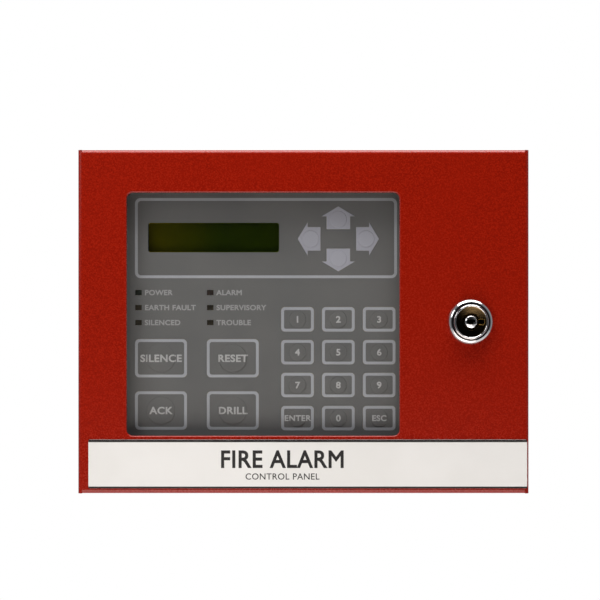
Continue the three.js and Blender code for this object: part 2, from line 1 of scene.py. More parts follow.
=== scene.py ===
"""A wall-mounted fire alarm control panel: a keypad and text display behind a locked steel door.

Lengths are in millimetres, and "out" is the distance from the wall, towards the reader.
"""

import math

import bpy
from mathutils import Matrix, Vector


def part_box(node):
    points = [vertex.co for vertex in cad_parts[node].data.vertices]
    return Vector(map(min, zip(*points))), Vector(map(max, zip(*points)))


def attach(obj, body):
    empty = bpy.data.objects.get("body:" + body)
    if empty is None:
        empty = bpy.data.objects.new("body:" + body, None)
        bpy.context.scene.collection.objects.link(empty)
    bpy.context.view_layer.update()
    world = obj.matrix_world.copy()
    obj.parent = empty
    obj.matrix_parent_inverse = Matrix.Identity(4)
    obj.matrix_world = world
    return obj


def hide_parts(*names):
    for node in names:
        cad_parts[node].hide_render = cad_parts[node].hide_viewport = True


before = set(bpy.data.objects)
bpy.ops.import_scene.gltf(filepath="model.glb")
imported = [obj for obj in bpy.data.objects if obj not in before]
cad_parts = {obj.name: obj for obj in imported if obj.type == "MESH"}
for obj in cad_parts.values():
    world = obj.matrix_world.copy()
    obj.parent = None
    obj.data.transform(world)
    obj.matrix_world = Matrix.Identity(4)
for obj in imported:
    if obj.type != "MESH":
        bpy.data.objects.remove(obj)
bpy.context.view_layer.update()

MM = 0.001
SIDEWAYS, OUTWARDS, UPWARDS = 0, 1, 2
CORNER_NAMES = ["top_left", "top_right", "bottom_left", "bottom_right"]


def node_box(node):
    """A node's box as {"x": (low, high), "out": (back, front), "z": (low, high)}."""
    low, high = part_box(node)
    return {
        "x": (low[0] / MM, high[0] / MM),
        "out": (-high[1] / MM, -low[1] / MM),
        "z": (low[2] / MM, high[2] / MM),
    }


def middle(span):
    return (span[0] + span[1]) / 2


def place(x, out, z):
    return Vector((x, -out, z)) * MM


# ------------------------------------------------------------------ materials


def tone(red, green, blue):
    """A colour as it is mixed on a screen, for a shader."""
    parts = [level / 255 for level in (red, green, blue)]
    return (*[p / 12.92 if p < 0.04 else ((p + 0.055) / 1.055) ** 2.4 for p in parts], 1)


class Flow:
    """What one node gives out. Arithmetic on it adds the nodes that do that arithmetic."""

    def __init__(self, finish, socket):
        self.finish = finish
        self.socket = socket

    def math(self, operation, *inputs):
        return self.finish.node("ShaderNodeMath", {"operation": operation}, inputs)

    def __add__(self, other):
        return self.math("ADD", self, other)

    __radd__ = __add__

    def __sub__(self, other):
        return self.math("SUBTRACT", self, other)

    def __rsub__(self, other):
        return self.math("SUBTRACT", other, self)

    def __mul__(self, other):
        return self.math("MULTIPLY", self, other)

    __rmul__ = __mul__

    def __truediv__(self, other):
        return self.math("DIVIDE", self, other)

    def __pow__(self, other):
        return self.math("POWER", self, other)

    def __abs__(self):
        return self.math("ABSOLUTE", self)

    def wrapped(self, length):
        return self.math("FLOORED_MODULO", self, length)

    def rising(self, start, end):
        """0 before start, 1 after end, and smooth between them. Start may be above end."""
        settings = {"interpolation_type": "SMOOTHSTEP"}
        inputs = {"Value": self, "From Min": start, "From Max": end}
        return self.finish.node("ShaderNodeMapRange", settings, inputs)


class Finish:
    """A material that is worked out from where a point lies on its piece."""

    def __init__(self, name):
        self.material = bpy.data.materials.new(name)
        self.material.use_nodes = True
        self.tree = self.material.node_tree
        self.tree.nodes.clear()
        self.spot = self.node("ShaderNodeTexCoord", output="Object")
        parts = self.node("ShaderNodeSeparateXYZ", inputs=[self.spot]).socket.node
        self.x, self.y, self.z = (Flow(self, socket) / MM for socket in parts.outputs)

    def node(self, kind, settings=None, inputs=(), output=0):
        made = self.tree.nodes.new(kind)
        for key, value in (settings or {}).items():
            setattr(made, key, value)
        pairs = inputs.items() if isinstance(inputs, dict) else enumerate(inputs)
        for key, value in pairs:
            if isinstance(value, Flow):
                self.tree.links.new(value.socket, made.inputs[key])
            else:
                made.inputs[key].default_value = value
        return Flow(self, made.outputs[output])

    def noise(self, size, detail=2.0, roughness=0.5, stretch=(1, 1, 1)):
        """Smooth noise from 0 to 1 whose lumps are about size millimetres across."""
        spot = self.spot
        if stretch != (1, 1, 1):
            spot = self.node("ShaderNodeMapping", inputs={"Vector": spot, "Scale": stretch})
        inputs = {
            "Vector": spot,
            "Scale": 1 / (size * MM),
            "Detail": detail,
            "Roughness": roughness,
        }
        return self.node("ShaderNodeTexNoise", inputs=inputs)

    def blend(self, share, first, second):
        """The first colour where share is 0 and the second where it is 1."""
        made = self.node("ShaderNodeMix", {"data_type": "RGBA"}, {0: share, 6: first, 7: second})
        return Flow(self, made.socket.node.outputs[2])

    def mirror_share(self, head_on):
        """How much a clear surface mirrors: head_on straight on, and most of the light at a slant."""
        slant = self.node("ShaderNodeLayerWeight", inputs={"Blend": 0.5}, output="Facing")
        return head_on + slant**5 * 0.8

    def bump(self, height, depth):
        """A normal for a surface that rises by depth millimetres where height goes from 0 to 1."""
        return self.node("ShaderNodeBump", inputs={"Height": height, "Distance": depth * MM})

    def surface(self, color, roughness, **more):
        """The shader itself. A key of more is a socket's name, with _ for a space."""
        inputs = {"Base Color": color, "Roughness": roughness}
        inputs.update({key.replace("_", " "): value for key, value in more.items()})
        return self.node("ShaderNodeBsdfPrincipled", inputs=inputs)

    def shown(self, shader):
        output = self.tree.nodes.new("ShaderNodeOutputMaterial")
        self.tree.links.new(shader.socket, output.inputs["Surface"])
        return self.material


LOCK_X = middle(node_box("lock_barrel")["x"])
RED = tone(145, 20, 1)
RED_LIGHT = tone(156, 25, 2)
RED_DARK = tone(129, 15, 1)


def powder_coat(name, marks=()):
    """Baked red powder: a fine even orange peel. Marks are [x, z] of studs welded on behind the sheet."""
    finish = Finish(name)
    speckle = finish.noise(0.7, 3, 0.6)
    clouds = finish.noise(45, 2)
    color = finish.blend(speckle.rising(0.3, 0.72), RED_DARK, RED_LIGHT)
    color = finish.blend(clouds.rising(0.35, 0.65) * 0.35, color, RED)
    relief = finish.noise(1.1, 2, 0.55) * 0.7 + finish.noise(0.35, 1) * 0.3
    for x, z in marks:
        distance = ((finish.x - x) ** 2 + (finish.z - z) ** 2) ** 0.5
        ring = distance.rising(1.6, 2.2) * distance.rising(3.2, 2.4)
        relief = relief - ring * 0.9
    roughness = 0.22 + speckle * 0.1
    normal = finish.bump(relief, 0.018)
    return finish.shown(finish.surface(color, roughness, Normal=normal, Specular_IOR_Level=0.42))


def zinc():
    """Bright zinc plate with a faint bloom and the rolling lines of the sheet under it."""
    finish = Finish("bright_zinc")
    bloom = finish.noise(9, 3)
    lines = finish.noise(0.5, 2, 0.5, (0.05, 1, 1))
    color = finish.blend(bloom.rising(0.3, 0.7), tone(176, 180, 188), tone(200, 197, 184))
    roughness = 0.26 + bloom * 0.14 + lines * 0.05
    normal = finish.bump(lines, 0.008)
    return finish.shown(finish.surface(color, roughness, Metallic=1, Normal=normal))


def chrome():
    """Polished chrome with fine wipe marks."""
    finish = Finish("polished_chrome")
    wipes = finish.noise(0.5, 3, 0.6, (1, 1, 0.25))
    haze = finish.noise(6, 2)
    color = finish.blend(haze, tone(206, 205, 208), tone(228, 226, 226))
    roughness = 0.045 + haze * 0.05 + wipes * 0.03
    normal = finish.bump(wipes, 0.002)
    return finish.shown(finish.surface(color, roughness, Metallic=1, Normal=normal))


def brass():
    finish = Finish("worn_brass")
    wear = finish.noise(0.8, 3)
    color = finish.blend(wear, tone(150, 112, 52), tone(214, 176, 104))
    normal = finish.bump(wear, 0.01)
    return finish.shown(finish.surface(color, 0.3 + wear * 0.15, Metallic=1, Normal=normal))


def turned_face():
    """Dark plated face with fans of reflected light painted into its colour, as fine turning marks throw
    them; the marks themselves are a bump.
    """
    finish = Finish("turned_face")
    to_lock = {"Vector": finish.spot, "Location": (-LOCK_X * MM, 0, 0)}
    spot = finish.node("ShaderNodeMapping", inputs=to_lock)
    around_it = finish.node("ShaderNodeVectorMath", {"operation": "NORMALIZE"}, [spot])
    painted_reflection_fans = finish.node("ShaderNodeTexNoise", inputs={"Vector": around_it, "Scale": 1.7, "Detail": 2.0})
    # The light side of each fan is painted reflection, not a colour of the metal.
    color = finish.blend(painted_reflection_fans.rising(0.42, 0.68), tone(50, 41, 28), tone(128, 104, 70))
    reach = ((finish.x - LOCK_X) ** 2 + finish.z**2) ** 0.5
    marks = reach.math("SINE", reach * 40)
    roughness = 0.2 + painted_reflection_fans * 0.12
    return finish.shown(finish.surface(color, roughness, Metallic=1, Normal=finish.bump(marks, 0.0015)))


def clear_sheet():
    """Clear plastic sheet: see-through from the front, more of a mirror at a slant, with faint smears."""
    finish = Finish("clear_sheet")
    smear = finish.noise(28, 3, 0.5, (1, 1, 0.4)).rising(0.42, 0.75)
    share = finish.mirror_share(0.035) + smear * 0.01
    roughness = 0.02 + smear * 0.12
    mirror = finish.surface(tone(225, 230, 236), roughness, Metallic=1)
    clear = finish.node("ShaderNodeBsdfTransparent", inputs={"Color": tone(254, 254, 255)})
    return finish.shown(finish.node("ShaderNodeMixShader", inputs=[share, clear, mirror]))


def printed_film(name, light, dark, grain=0.28, shine=0.5):
    """Printed plastic film with a fine velvet texture."""
    finish = Finish(name)
    velvet = finish.noise(grain, 2, 0.6)
    drift = finish.noise(34, 2)
    color = finish.blend(drift.rising(0.3, 0.7) * 0.6 + velvet * 0.4, dark, light)
    roughness = shine + velvet * 0.12
    normal = finish.bump(velvet, 0.012)
    return finish.shown(finish.surface(color, roughness, Normal=normal))


def moulded_plastic(name, color, lighter):
    """Moulded plastic with a spark-eroded texture and faint flow marks."""
    finish = Finish(name)
    grain = finish.noise(0.3, 2, 0.6)
    flow = finish.noise(7, 2, 0.5, (1, 1, 0.3))
    mixed = finish.blend(flow.rising(0.35, 0.7) * 0.5, color, lighter)
    roughness = 0.38 + grain * 0.14
    return finish.shown(finish.surface(mixed, roughness, Normal=finish.bump(grain, 0.015)))


def tinted_resin(name, color, deep):
    """Clear tinted resin, darker inside."""
    finish = Finish(name)
    inside = finish.noise(1.6, 2)
    mixed = finish.blend(inside.rising(0.3, 0.7), deep, color)
    roughness = 0.16 + inside * 0.08
    normal = finish.bump(finish.noise(0.9, 1), 0.01)
    return finish.shown(finish.surface(mixed, roughness, Normal=normal, Coat_Weight=0.4))


def solder_mask():
    """Green solder mask over copper tracks and a ground plane."""
    finish = Finish("green_solder_mask")
    weave = finish.noise(0.5, 1)
    pitch = 2.54
    to_grid = abs(finish.z.wrapped(pitch) - pitch / 2)
    run = finish.noise(11, 0, 0.5, (0.35, 1, 3)).rising(0.47, 0.5)
    track = to_grid.rising(0.45, 0.3) * run
    across = abs(finish.x.wrapped(2 * pitch) - pitch).rising(0.45, 0.3)
    crossing = across * finish.noise(13, 0, 0.5, (3, 1, 0.35)).rising(0.52, 0.55)
    copper = 1 - (1 - track) * (1 - crossing)
    color = finish.blend(copper, tone(22, 74, 42), tone(48, 118, 66))
    color = finish.blend(weave * 0.25, color, tone(14, 56, 32))
    normal = finish.bump(copper + weave * 0.15, 0.035)
    roughness = 0.28 + weave * 0.12
    return finish.shown(finish.surface(color, roughness, Normal=normal, Coat_Weight=0.2))


def display_cells():
    """Unlit green display with a faint grid of dots in each character cell, and a painted brownish
    reflection towards its left end.
    """
    finish = Finish("unlit_display")
    dot = 0.65
    dots = abs(finish.x.wrapped(dot) - dot / 2).rising(0.3, 0.26)
    dots = dots * abs(finish.z.wrapped(dot) - dot / 2).rising(0.3, 0.26)
    painted_reflection_left = finish.x.rising(-40, -84)
    clouds = finish.noise(16, 2)
    # Towards the left end the colour turns brownish: a painted reflection.
    color = finish.blend(painted_reflection_left, tone(100, 118, 16), tone(196, 164, 40))
    color = finish.blend(dots * 0.16, color, tone(136, 154, 34))
    color = finish.blend(clouds * 0.3, color, tone(78, 96, 10))
    roughness = 0.16 + clouds * 0.06
    return finish.shown(finish.surface(color, roughness, Normal=finish.bump(dots, 0.004)))


def dark_filter():
    """Tinted clear filter over the display."""
    finish = Finish("display_filter")
    smear = finish.noise(14, 3).rising(0.4, 0.8)
    share = finish.mirror_share(0.03) + smear * 0.01
    mirror = finish.surface(tone(215, 220, 214), 0.05 + smear * 0.1, Metallic=1)
    clear = finish.node("ShaderNodeBsdfTransparent", inputs={"Color": tone(208, 214, 190)})
    return finish.shown(finish.node("ShaderNodeMixShader", inputs=[share, clear, mirror]))


STUD_MARKS = [(-105.4, 63.4), (66, 63.4), (-105.4, -53), (66, -53)]
DOOR_COAT = powder_coat("door_powder_coat", STUD_MARKS)
BOX_COAT = powder_coat("box_powder_coat")
ZINC = zinc()
CHROME = chrome()
BRASS = brass()
TURNED_FACE = turned_face()
CLEAR = clear_sheet()
LABEL_WHITE = printed_film("white_label_film", tone(233, 232, 231), tone(226, 225, 223), 0.4, 0.36)
LABEL_INK = printed_film("black_ink", tone(34, 32, 33), tone(20, 19, 20), 0.4, 0.4)
KEYPAD_GREY = printed_film("dark_grey_film", tone(108, 108, 105), tone(99, 100, 98))
OUTLINE_GREY = printed_film("light_grey_ink", tone(174, 177, 179), tone(162, 165, 168))
ARROW_GREY = printed_film("arrow_ink", tone(173, 174, 181), tone(163, 164, 172))
LETTER_GREY = printed_film("letter_ink", tone(186, 187, 184), tone(174, 175, 173))
LAMP_LETTER_GREY = printed_film("lamp_letter_ink", tone(162, 163, 160), tone(152, 153, 151))
AMBER_FILM = printed_film("amber_circuit_film", tone(190, 170, 110), tone(168, 148, 92), 0.6, 0.3)
BLACK_BEZEL_AND_KEYWAY_SHADE = moulded_plastic("black_bezel_paint_and_keyway_shade", tone(22, 22, 23), tone(33, 33, 34))
BLACK_PLASTIC = moulded_plastic("black_moulding", tone(20, 20, 21), tone(36, 36, 38))
GREEN_PLASTIC = moulded_plastic("green_moulding", tone(38, 104, 62), tone(52, 124, 76))
MASK = solder_mask()
DISPLAY = display_cells()
FILTER = dark_filter()
RESINS = {
    "power": tinted_resin("green_resin", tone(48, 54, 46), tone(38, 41, 36)),
    "earth_fault": tinted_resin("amber_resin", tone(58, 54, 44), tone(42, 39, 33)),
    "alarm": tinted_resin("red_resin", tone(56, 48, 44), tone(42, 37, 34)),
}
for lamp_name in ("silenced", "supervisory", "trouble"):
    RESINS[lamp_name] = RESINS["earth_fault"]


# ------------------------------------------------------------------ making pieces


def nothing_selected():
    if bpy.context.mode != "OBJECT":
        bpy.ops.object.mode_set(mode="OBJECT")
    bpy.ops.object.select_all(action="DESELECT")


def take(piece):
    """Makes this piece the only one selected."""
    nothing_selected()
    piece.select_set(True)
    bpy.context.view_layer.objects.active = piece
    return piece


def settle(piece):
    """Puts the piece's place and turn into its mesh."""
    take(piece)
    bpy.ops.object.transform_apply(location=True, rotation=True, scale=True)
    return piece


def named(name):
    """The piece that was just added, under its own name and settled."""
    piece = bpy.context.object
    piece.name = name
    piece.data.name = name
    return settle(piece)


def block(name, x, out, z):
    """A block between two limits on each axis."""
    nothing_selected()
    centre = place(middle(x), middle(out), middle(z))
    size = [(high - low) * MM for low, high in (x, out, z)]
    bpy.ops.mesh.primitive_cube_add(size=1, location=centre, scale=size)
    return named(name)


def pick(piece, kind, chosen):
    """Goes into edit mode with the edges or faces that chosen picks.

    Chosen is asked about an edge's two ends, or about a face's centre and normal, in millimetres.
    """
    take(piece)
    bpy.ops.object.mode_set(mode="EDIT")
    bpy.ops.mesh.select_mode(type=kind)
    bpy.ops.mesh.select_all(action="DESELECT")
    bpy.ops.object.mode_set(mode="OBJECT")
    mesh = piece.data
    if kind == "EDGE":
        for edge in mesh.edges:
            ends = [mesh.vertices[index].co / MM for index in edge.vertices]
            edge.select = chosen(*ends)
    else:
        for face in mesh.polygons:
            face.select = chosen(face.center / MM, face.normal)
    bpy.ops.object.mode_set(mode="EDIT")


def runs_along(axis):
    return lambda a, b: abs((b - a).normalized()[axis]) > 0.99


def at_out(out, within=0.02):
    """Edges that lie wholly at one distance from the wall."""
    return lambda a, b: abs(a.y + out) < within and abs(b.y + out) < within


def bevel(piece, chosen, width, segments=4, profile=0.5):
    pick(piece, "EDGE", chosen)
    bpy.ops.mesh.bevel(offset=width * MM, segments=segments, profile=profile, affect="EDGES")
    bpy.ops.object.mode_set(mode="OBJECT")
    return piece


def rounded_block(name, x, out, z, radius, segments=8):
    """A block whose four corners, as the reader sees it, are round."""
    return bevel(block(name, x, out, z), runs_along(OUTWARDS), radius, segments)


def around(x, z, width, height):
    return (x - width / 2, x + width / 2), (z - height / 2, z + height / 2)


def turned(name, centre, profile, sides=48, axis=OUTWARDS, ring=False):
    """A round piece, made ring by ring from a profile of [radius, place along its axis].

    A ring's profile ends where it began, so it has no caps.
    """
    across, along = centre
    nothing_selected()

    def spot(level):
        return place(across, level, along) if axis == OUTWARDS else place(across, along, level)

    (radius, level), *steps = profile
    bpy.ops.mesh.primitive_circle_add(
        vertices=sides,
        radius=max(radius, 0.001) * MM,
        fill_type="NOTHING" if ring else "NGON",
        location=spot(level),
        rotation=(math.pi / 2, 0, 0) if axis == OUTWARDS else (0, 0, 0),
    )
    piece = named(name)
    bpy.ops.object.mode_set(mode="EDIT")
    bpy.ops.mesh.select_all(action="SELECT")
    for next_radius, next_level in steps:
        wanted = max(next_radius, 0.001)
        step = spot(next_level) - spot(level)
        bpy.ops.mesh.extrude_region_move(TRANSFORM_OT_translate={"value": step})
        factor = wanted / max(radius, 0.001)
        value = (factor, 1, factor) if axis == OUTWARDS else (factor, factor, 1)
        bpy.ops.transform.resize(value=value, center_override=spot(next_level))
        radius, level = wanted, next_level
    bpy.ops.mesh.select_all(action="SELECT")
    bpy.ops.mesh.remove_doubles(threshold=0.003 * MM)
    bpy.ops.mesh.normals_make_consistent(inside=False)
    bpy.ops.object.mode_set(mode="OBJECT")
    return piece


def arc(centre_radius, centre_level, size, start, end, steps=6):
    """Points on part of a circle in a profile, with angles in degrees from straight outwards."""
    points = []
    for step in range(steps + 1):
        angle = math.radians(start + (end - start) * step / steps)
        radius = centre_radius + size * math.cos(angle)
        points.append((radius, centre_level + size * math.sin(angle)))
    return points


def cut(piece, *tools, operation="DIFFERENCE"):
    """Cuts each tool's shape out of the piece, or joins it on."""
    for tool in tools:
        take(piece)
        modifier = piece.modifiers.new("cut", "BOOLEAN")
        modifier.operation = operation
        modifier.solver = "EXACT"
        modifier.object = tool
        bpy.ops.object.modifier_apply(modifier=modifier.name)
        bpy.data.objects.remove(tool)
    return piece


def joined(piece, *others):
    """The pieces as one object, each with its own finish."""
    take(piece)
    for other in others:
        other.select_set(True)
    bpy.ops.object.join()
    return piece


def copied(piece, name, shift=(0, 0, 0), turn=(0, 0, 0)):
    """A second piece with its own mesh, moved by shift and turned by degrees about the origin."""
    twin = piece.copy()
    twin.data = piece.data.copy()
    twin.name = name
    bpy.context.scene.collection.objects.link(twin)
    twin.rotation_euler = [math.radians(angle) for angle in turn]
    twin.location = place(*shift)
    return settle(twin)


def mirrored(piece, name, axis):
    """The piece's mirror image across the plane through the origin, across that axis."""
    twin = copied(piece, name)
    twin.scale[axis] = -1
    settle(twin)
    bpy.ops.object.mode_set(mode="EDIT")
    bpy.ops.mesh.select_all(action="SELECT")
    bpy.ops.mesh.normals_make_consistent(inside=False)
    bpy.ops.object.mode_set(mode="OBJECT")
    return twin


def coated(piece, material):
    piece.data.materials.clear()
    piece.data.materials.append(material)
    return piece


def smooth(piece, angle=35):
    """Smooth shading up to an angle, in which a large flat face stays flat beside its rounded edges."""
    take(piece)
    bpy.ops.object.shade_smooth_by_angle(angle=math.radians(angle))
    modifier = piece.modifiers.new("flat faces", "WEIGHTED_NORMAL")
    modifier.keep_sharp = True
    bpy.ops.object.modifier_apply(modifier=modifier.name)
    return piece


def merged_copy(node, name):
    """A copy of a node with its corners merged and its flat faces made whole."""
    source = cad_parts[node]
    piece = source.copy()
    piece.data = source.data.copy()
    for key in list(piece.keys()):
        del piece[key]
    piece.name = name
    piece.parent = None
    bpy.context.scene.collection.objects.link(piece)
    take(piece)
    bpy.ops.object.mode_set(mode="EDIT")
    bpy.ops.mesh.select_all(action="SELECT")
    bpy.ops.mesh.remove_doubles(threshold=0.001 * MM)
    bpy.ops.mesh.dissolve_limited(angle_limit=math.radians(0.5))
    bpy.ops.object.mode_set(mode="OBJECT")
    return piece


def softened(piece, width, segments=2, angle=40):
    """Rounds every sharp edge a little, as a press or a mould leaves it."""
    take(piece)
    modifier = piece.modifiers.new("soft edges", "BEVEL")
    modifier.width = width * MM
    modifier.segments = segments
    modifier.limit_method = "ANGLE"
    modifier.angle_limit = math.radians(angle)
    modifier.harden_normals = False
    bpy.ops.object.modifier_apply(modifier=modifier.name)
    return smooth(piece)


def lettering(name, words, x, out, z, height, align="CENTER", weight=0.042, width=1.08):
    """Printed words: z is the middle of their capitals, which are height tall.

    Weight is how far each stroke is fattened on each side, as a share of the height.
    """
    cap_share = 0.682
    thickness = 0.06
    fat = weight * height
    depth = thickness + 2 * fat
    nothing_selected()
    bpy.ops.object.text_add()
    text = bpy.context.object
    text.data.body = words
    text.data.size = (height - 2 * fat) / cap_share
    text.data.align_x = align
    text.data.space_character = 1.06
    text.data.bevel_depth = fat
    text.data.bevel_resolution = 0
    text.data.extrude = thickness / 2
    text.data.resolution_u = 4
    bpy.ops.object.convert(target="MESH")
    text = bpy.context.object
    text.scale = (width * MM, MM, MM * thickness / depth)
    text.rotation_euler = (math.pi / 2, 0, 0)
    text.location = place(x, out, z - height / 2 + fat)
    piece = named(name)
    bpy.ops.object.mode_set(mode="EDIT")
    bpy.ops.mesh.select_all(action="SELECT")
    bpy.ops.mesh.remove_doubles(threshold=0.001 * MM)
    bpy.ops.object.mode_set(mode="OBJECT")
    return piece


def fitted(piece, body, node=None):
    """Hands a finished piece over: it rides on its body and stands for its node."""
    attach(piece, body)
    if node:
        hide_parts(*([node] if isinstance(node, str) else node))
    return piece


def at_corners(master, body, node, name):
    """Copies of a zinc-plated fastener at the four corners, each standing for its own node."""
    for corner in CORNER_NAMES:
        box = node_box(f"{node}_{corner}")
        twin = copied(master, f"{name}_{corner}", (middle(box["x"]), 0, middle(box["z"])))
        fitted(twin, body, f"{node}_{corner}")
    bpy.data.objects.remove(master)


# ------------------------------------------------------------------ door

DOOR = node_box("door_panel")
SHEET = 1.2
BEND = 2.0
FACE = DOOR["out"][1]
FACE_BACK = FACE - SHEET
HALF_WIDTH = DOOR["x"][1]
HALF_HEIGHT = DOOR["z"][1]
FLANGE_REAR = FACE - 12.7
WINDOW = {"x": (-92.2, 50.1), "z": (-59.5, 67.3)}
HINGE_X = middle(node_box("hinge_pin_upper")["x"])
HINGE_OUT = middle(node_box("hinge_pin_upper")["out"])


def bent_edge(name, length):
    """The right edge of the door: a bend and the flange behind it."""
    edge = block(name, (HALF_WIDTH - BEND, HALF_WIDTH), (FLANGE_REAR, FACE), (-length / 2, length / 2))

    def outer(a, b):
        return runs_along(UPWARDS)(a, b) and a.x > HALF_WIDTH - 0.1 and a.y < -FACE + 0.1

    bevel(edge, outer, BEND, 8)
    inside_x = (HALF_WIDTH - BEND - 1, HALF_WIDTH - SHEET)
    inner = block("inside", inside_x, (FLANGE_REAR - 1, FACE_BACK), (-length, length))

    def inner_corner(a, b):
        return runs_along(UPWARDS)(a, b) and a.x > HALF_WIDTH - 1.5 and a.y < -FACE_BACK + 0.1

    bevel(inner, inner_corner, BEND - SHEET, 6)
    cut(edge, inner)
    return edge


def hinge_ear():
    """The tab of the top flange that reaches back to the hinge pin."""
    radius = 4
    root = FLANGE_REAR + 1
    heights = (HALF_HEIGHT - SHEET, HALF_HEIGHT)
    tab = block("ear", (HINGE_X - radius, HINGE_X + radius), (HINGE_OUT, root), heights)
    eye = turned("eye", (HINGE_X, HINGE_OUT), [(radius, heights[0]), (radius, heights[1])], 48, UPWARDS)
    bore = [(2.3, heights[0] - 1), (2.3, heights[1] + 1)]
    cut(tab, eye, operation="UNION")
    return cut(tab, turned("bore", (HINGE_X, HINGE_OUT), bore, 32, UPWARDS))


def door_face():
    """The flat of the door, with its window and its lock hole, both with rolled front rims."""
    flat_x = HALF_WIDTH - BEND
    flat_z = HALF_HEIGHT - BEND
    face = block("door_skin", (-flat_x, flat_x), (FACE_BACK, FACE), (-flat_z, flat_z))
    pane = rounded_block("pane", WINDOW["x"], (FACE_BACK - 2, FACE + 2), WINDOW["z"], 3.2)
    cut(face, pane)
    hole = turned("lock_hole", (LOCK_X, 0), [(9.7, FACE_BACK - 2), (9.7, FACE + 2)], 48)
    cut(face, hole)

    def window_rim(a, b):
        inside = all(abs(p.x) < flat_x - 0.5 and abs(p.z) < flat_z - 0.5 for p in (a, b))
        return inside and at_out(FACE)(a, b) and max(a.x, b.x) < WINDOW["x"][1] + 0.1

    return bevel(face, window_rim, 0.75, 4)


def stud(x, z):
    """A threaded stud welded to the back of the door."""
    tip, root, pitch = 43.6, FACE_BACK, 0.5
    profile = [(1.1, tip), (1.25, tip + 0.2)]
    level = tip + 0.3
    while level < root - 2.6:
        profile += [(1.5, level + pitch * 0.3), (1.5, level + pitch * 0.4), (1.26, level + pitch)]
        level += pitch
    profile += [(1.5, level + 0.2), (1.5, root - 0.4), (2.3, root - 0.05), (2.3, root + 0.1)]
    return turned("stud", (x, z), profile, 20)


def make_door_skin():
    skin = door_face()
    right = bent_edge("right_edge", 2 * HALF_HEIGHT)
    left = mirrored(right, "left_edge", SIDEWAYS)
    # The top edge is bent the same way, so it is the right edge's section at the door's height.
    top = bent_edge("top_edge", 2 * (HALF_WIDTH - BEND))
    top.rotation_euler = (0, -math.pi / 2, 0)
    settle(top)
    top.location = (0, 0, (HALF_HEIGHT - HALF_WIDTH) * MM)
    settle(top)
    bottom = mirrored(top, "bottom_edge", UPWARDS)
    ear = hinge_ear()
    lower_ear = mirrored(ear, "lower_ear", UPWARDS)
    sheet = joined(skin, right, left, top, bottom, ear, lower_ear)
    coated(sheet, DOOR_COAT)
    studs = [coated(stud(x, z), ZINC) for x, z in STUD_MARKS]
    joined(sheet, *studs)
    fitted(smooth(sheet), "door", "door_panel")


def make_window_lens():
    box = node_box("window_lens")
    lens = rounded_block("window_sheet", box["x"], box["out"], box["z"], 2)
    for x, z in STUD_MARKS:
        cut(lens, turned("hole", (x, z), [(1.8, box["out"][0] - 1), (1.8, box["out"][1] + 1)], 24))
    fitted(softened(coated(lens, CLEAR), 0.15, 2), "door", "window_lens")


def make_lens_nuts():
    """Hexagon nuts with chamfered corners and a threaded bore."""
    box = node_box("lens_nut_top_left")
    back, front = box["out"]
    nut = turned("nut", (0, 0), [(3.2, back), (3.2, front)], 6)
    dome = turned("chamfer", (0, 0), [(2.75, back), (3.35, back + 0.45), (3.35, front + 1)], 32)
    cut(nut, dome, operation="INTERSECT")
    thread = [(1.75, back - 1)]
    level = back
    while level < front:
        thread += [(1.75, level), (1.58, level + 0.25)]
        level += 0.5
    thread += [(1.75, front + 1)]
    cut(nut, turned("thread", (0, 0), thread, 24))
    smooth(coated(nut, ZINC), 30)
    at_corners(nut, "door", "lens_nut", "window_nut")


def make_name_strip():
    """A plain white strip with dark edge lines and plain words on it."""
    box = node_box("name_plate")
    line = 1.3
    back, front = box["out"]
    strip = rounded_block("name_strip", box["x"], (back, front - 0.1), box["z"], 0.6, 3)
    coated(softened(strip, 0.08, 1), LABEL_WHITE)
    bottom, top = box["z"]
    ink = front - 0.04
    x = (box["x"][0] + 0.05, box["x"][1] - 0.05)
    upper = block("upper_line", x, (front - 0.12, ink), (top - line, top - 0.03))
    lower = block("lower_line", x, (front - 0.12, ink), (bottom + 0.03, bottom + line * 0.7))
    words = lettering("title", "FIRE ALARM", -11, front - 0.1, -71.6, 9.2, weight=0.03, width=0.92)
    small = lettering("subtitle", "CONTROL PANEL", -11, front - 0.1, -80.6, 3.2, weight=0.01, width=1)
    inks = [coated(piece, LABEL_INK) for piece in (upper, lower, words, small)]
    fitted(joined(strip, *inks), "door", "name_plate")


# ------------------------------------------------------------------ lock

BARREL_RADIUS = 9.4
BARREL_FLAT = 8.1
HEAD_RADIUS = 11.8


def flats(reach, half, back, front):
    """Two blocks that cut flats on the top and bottom of a barrel."""
    x = (LOCK_X - reach, LOCK_X + reach)
    return [
        block("over", x, (back, front), (half, reach)),
        block("under", x, (back, front), (-reach, -half)),
    ]


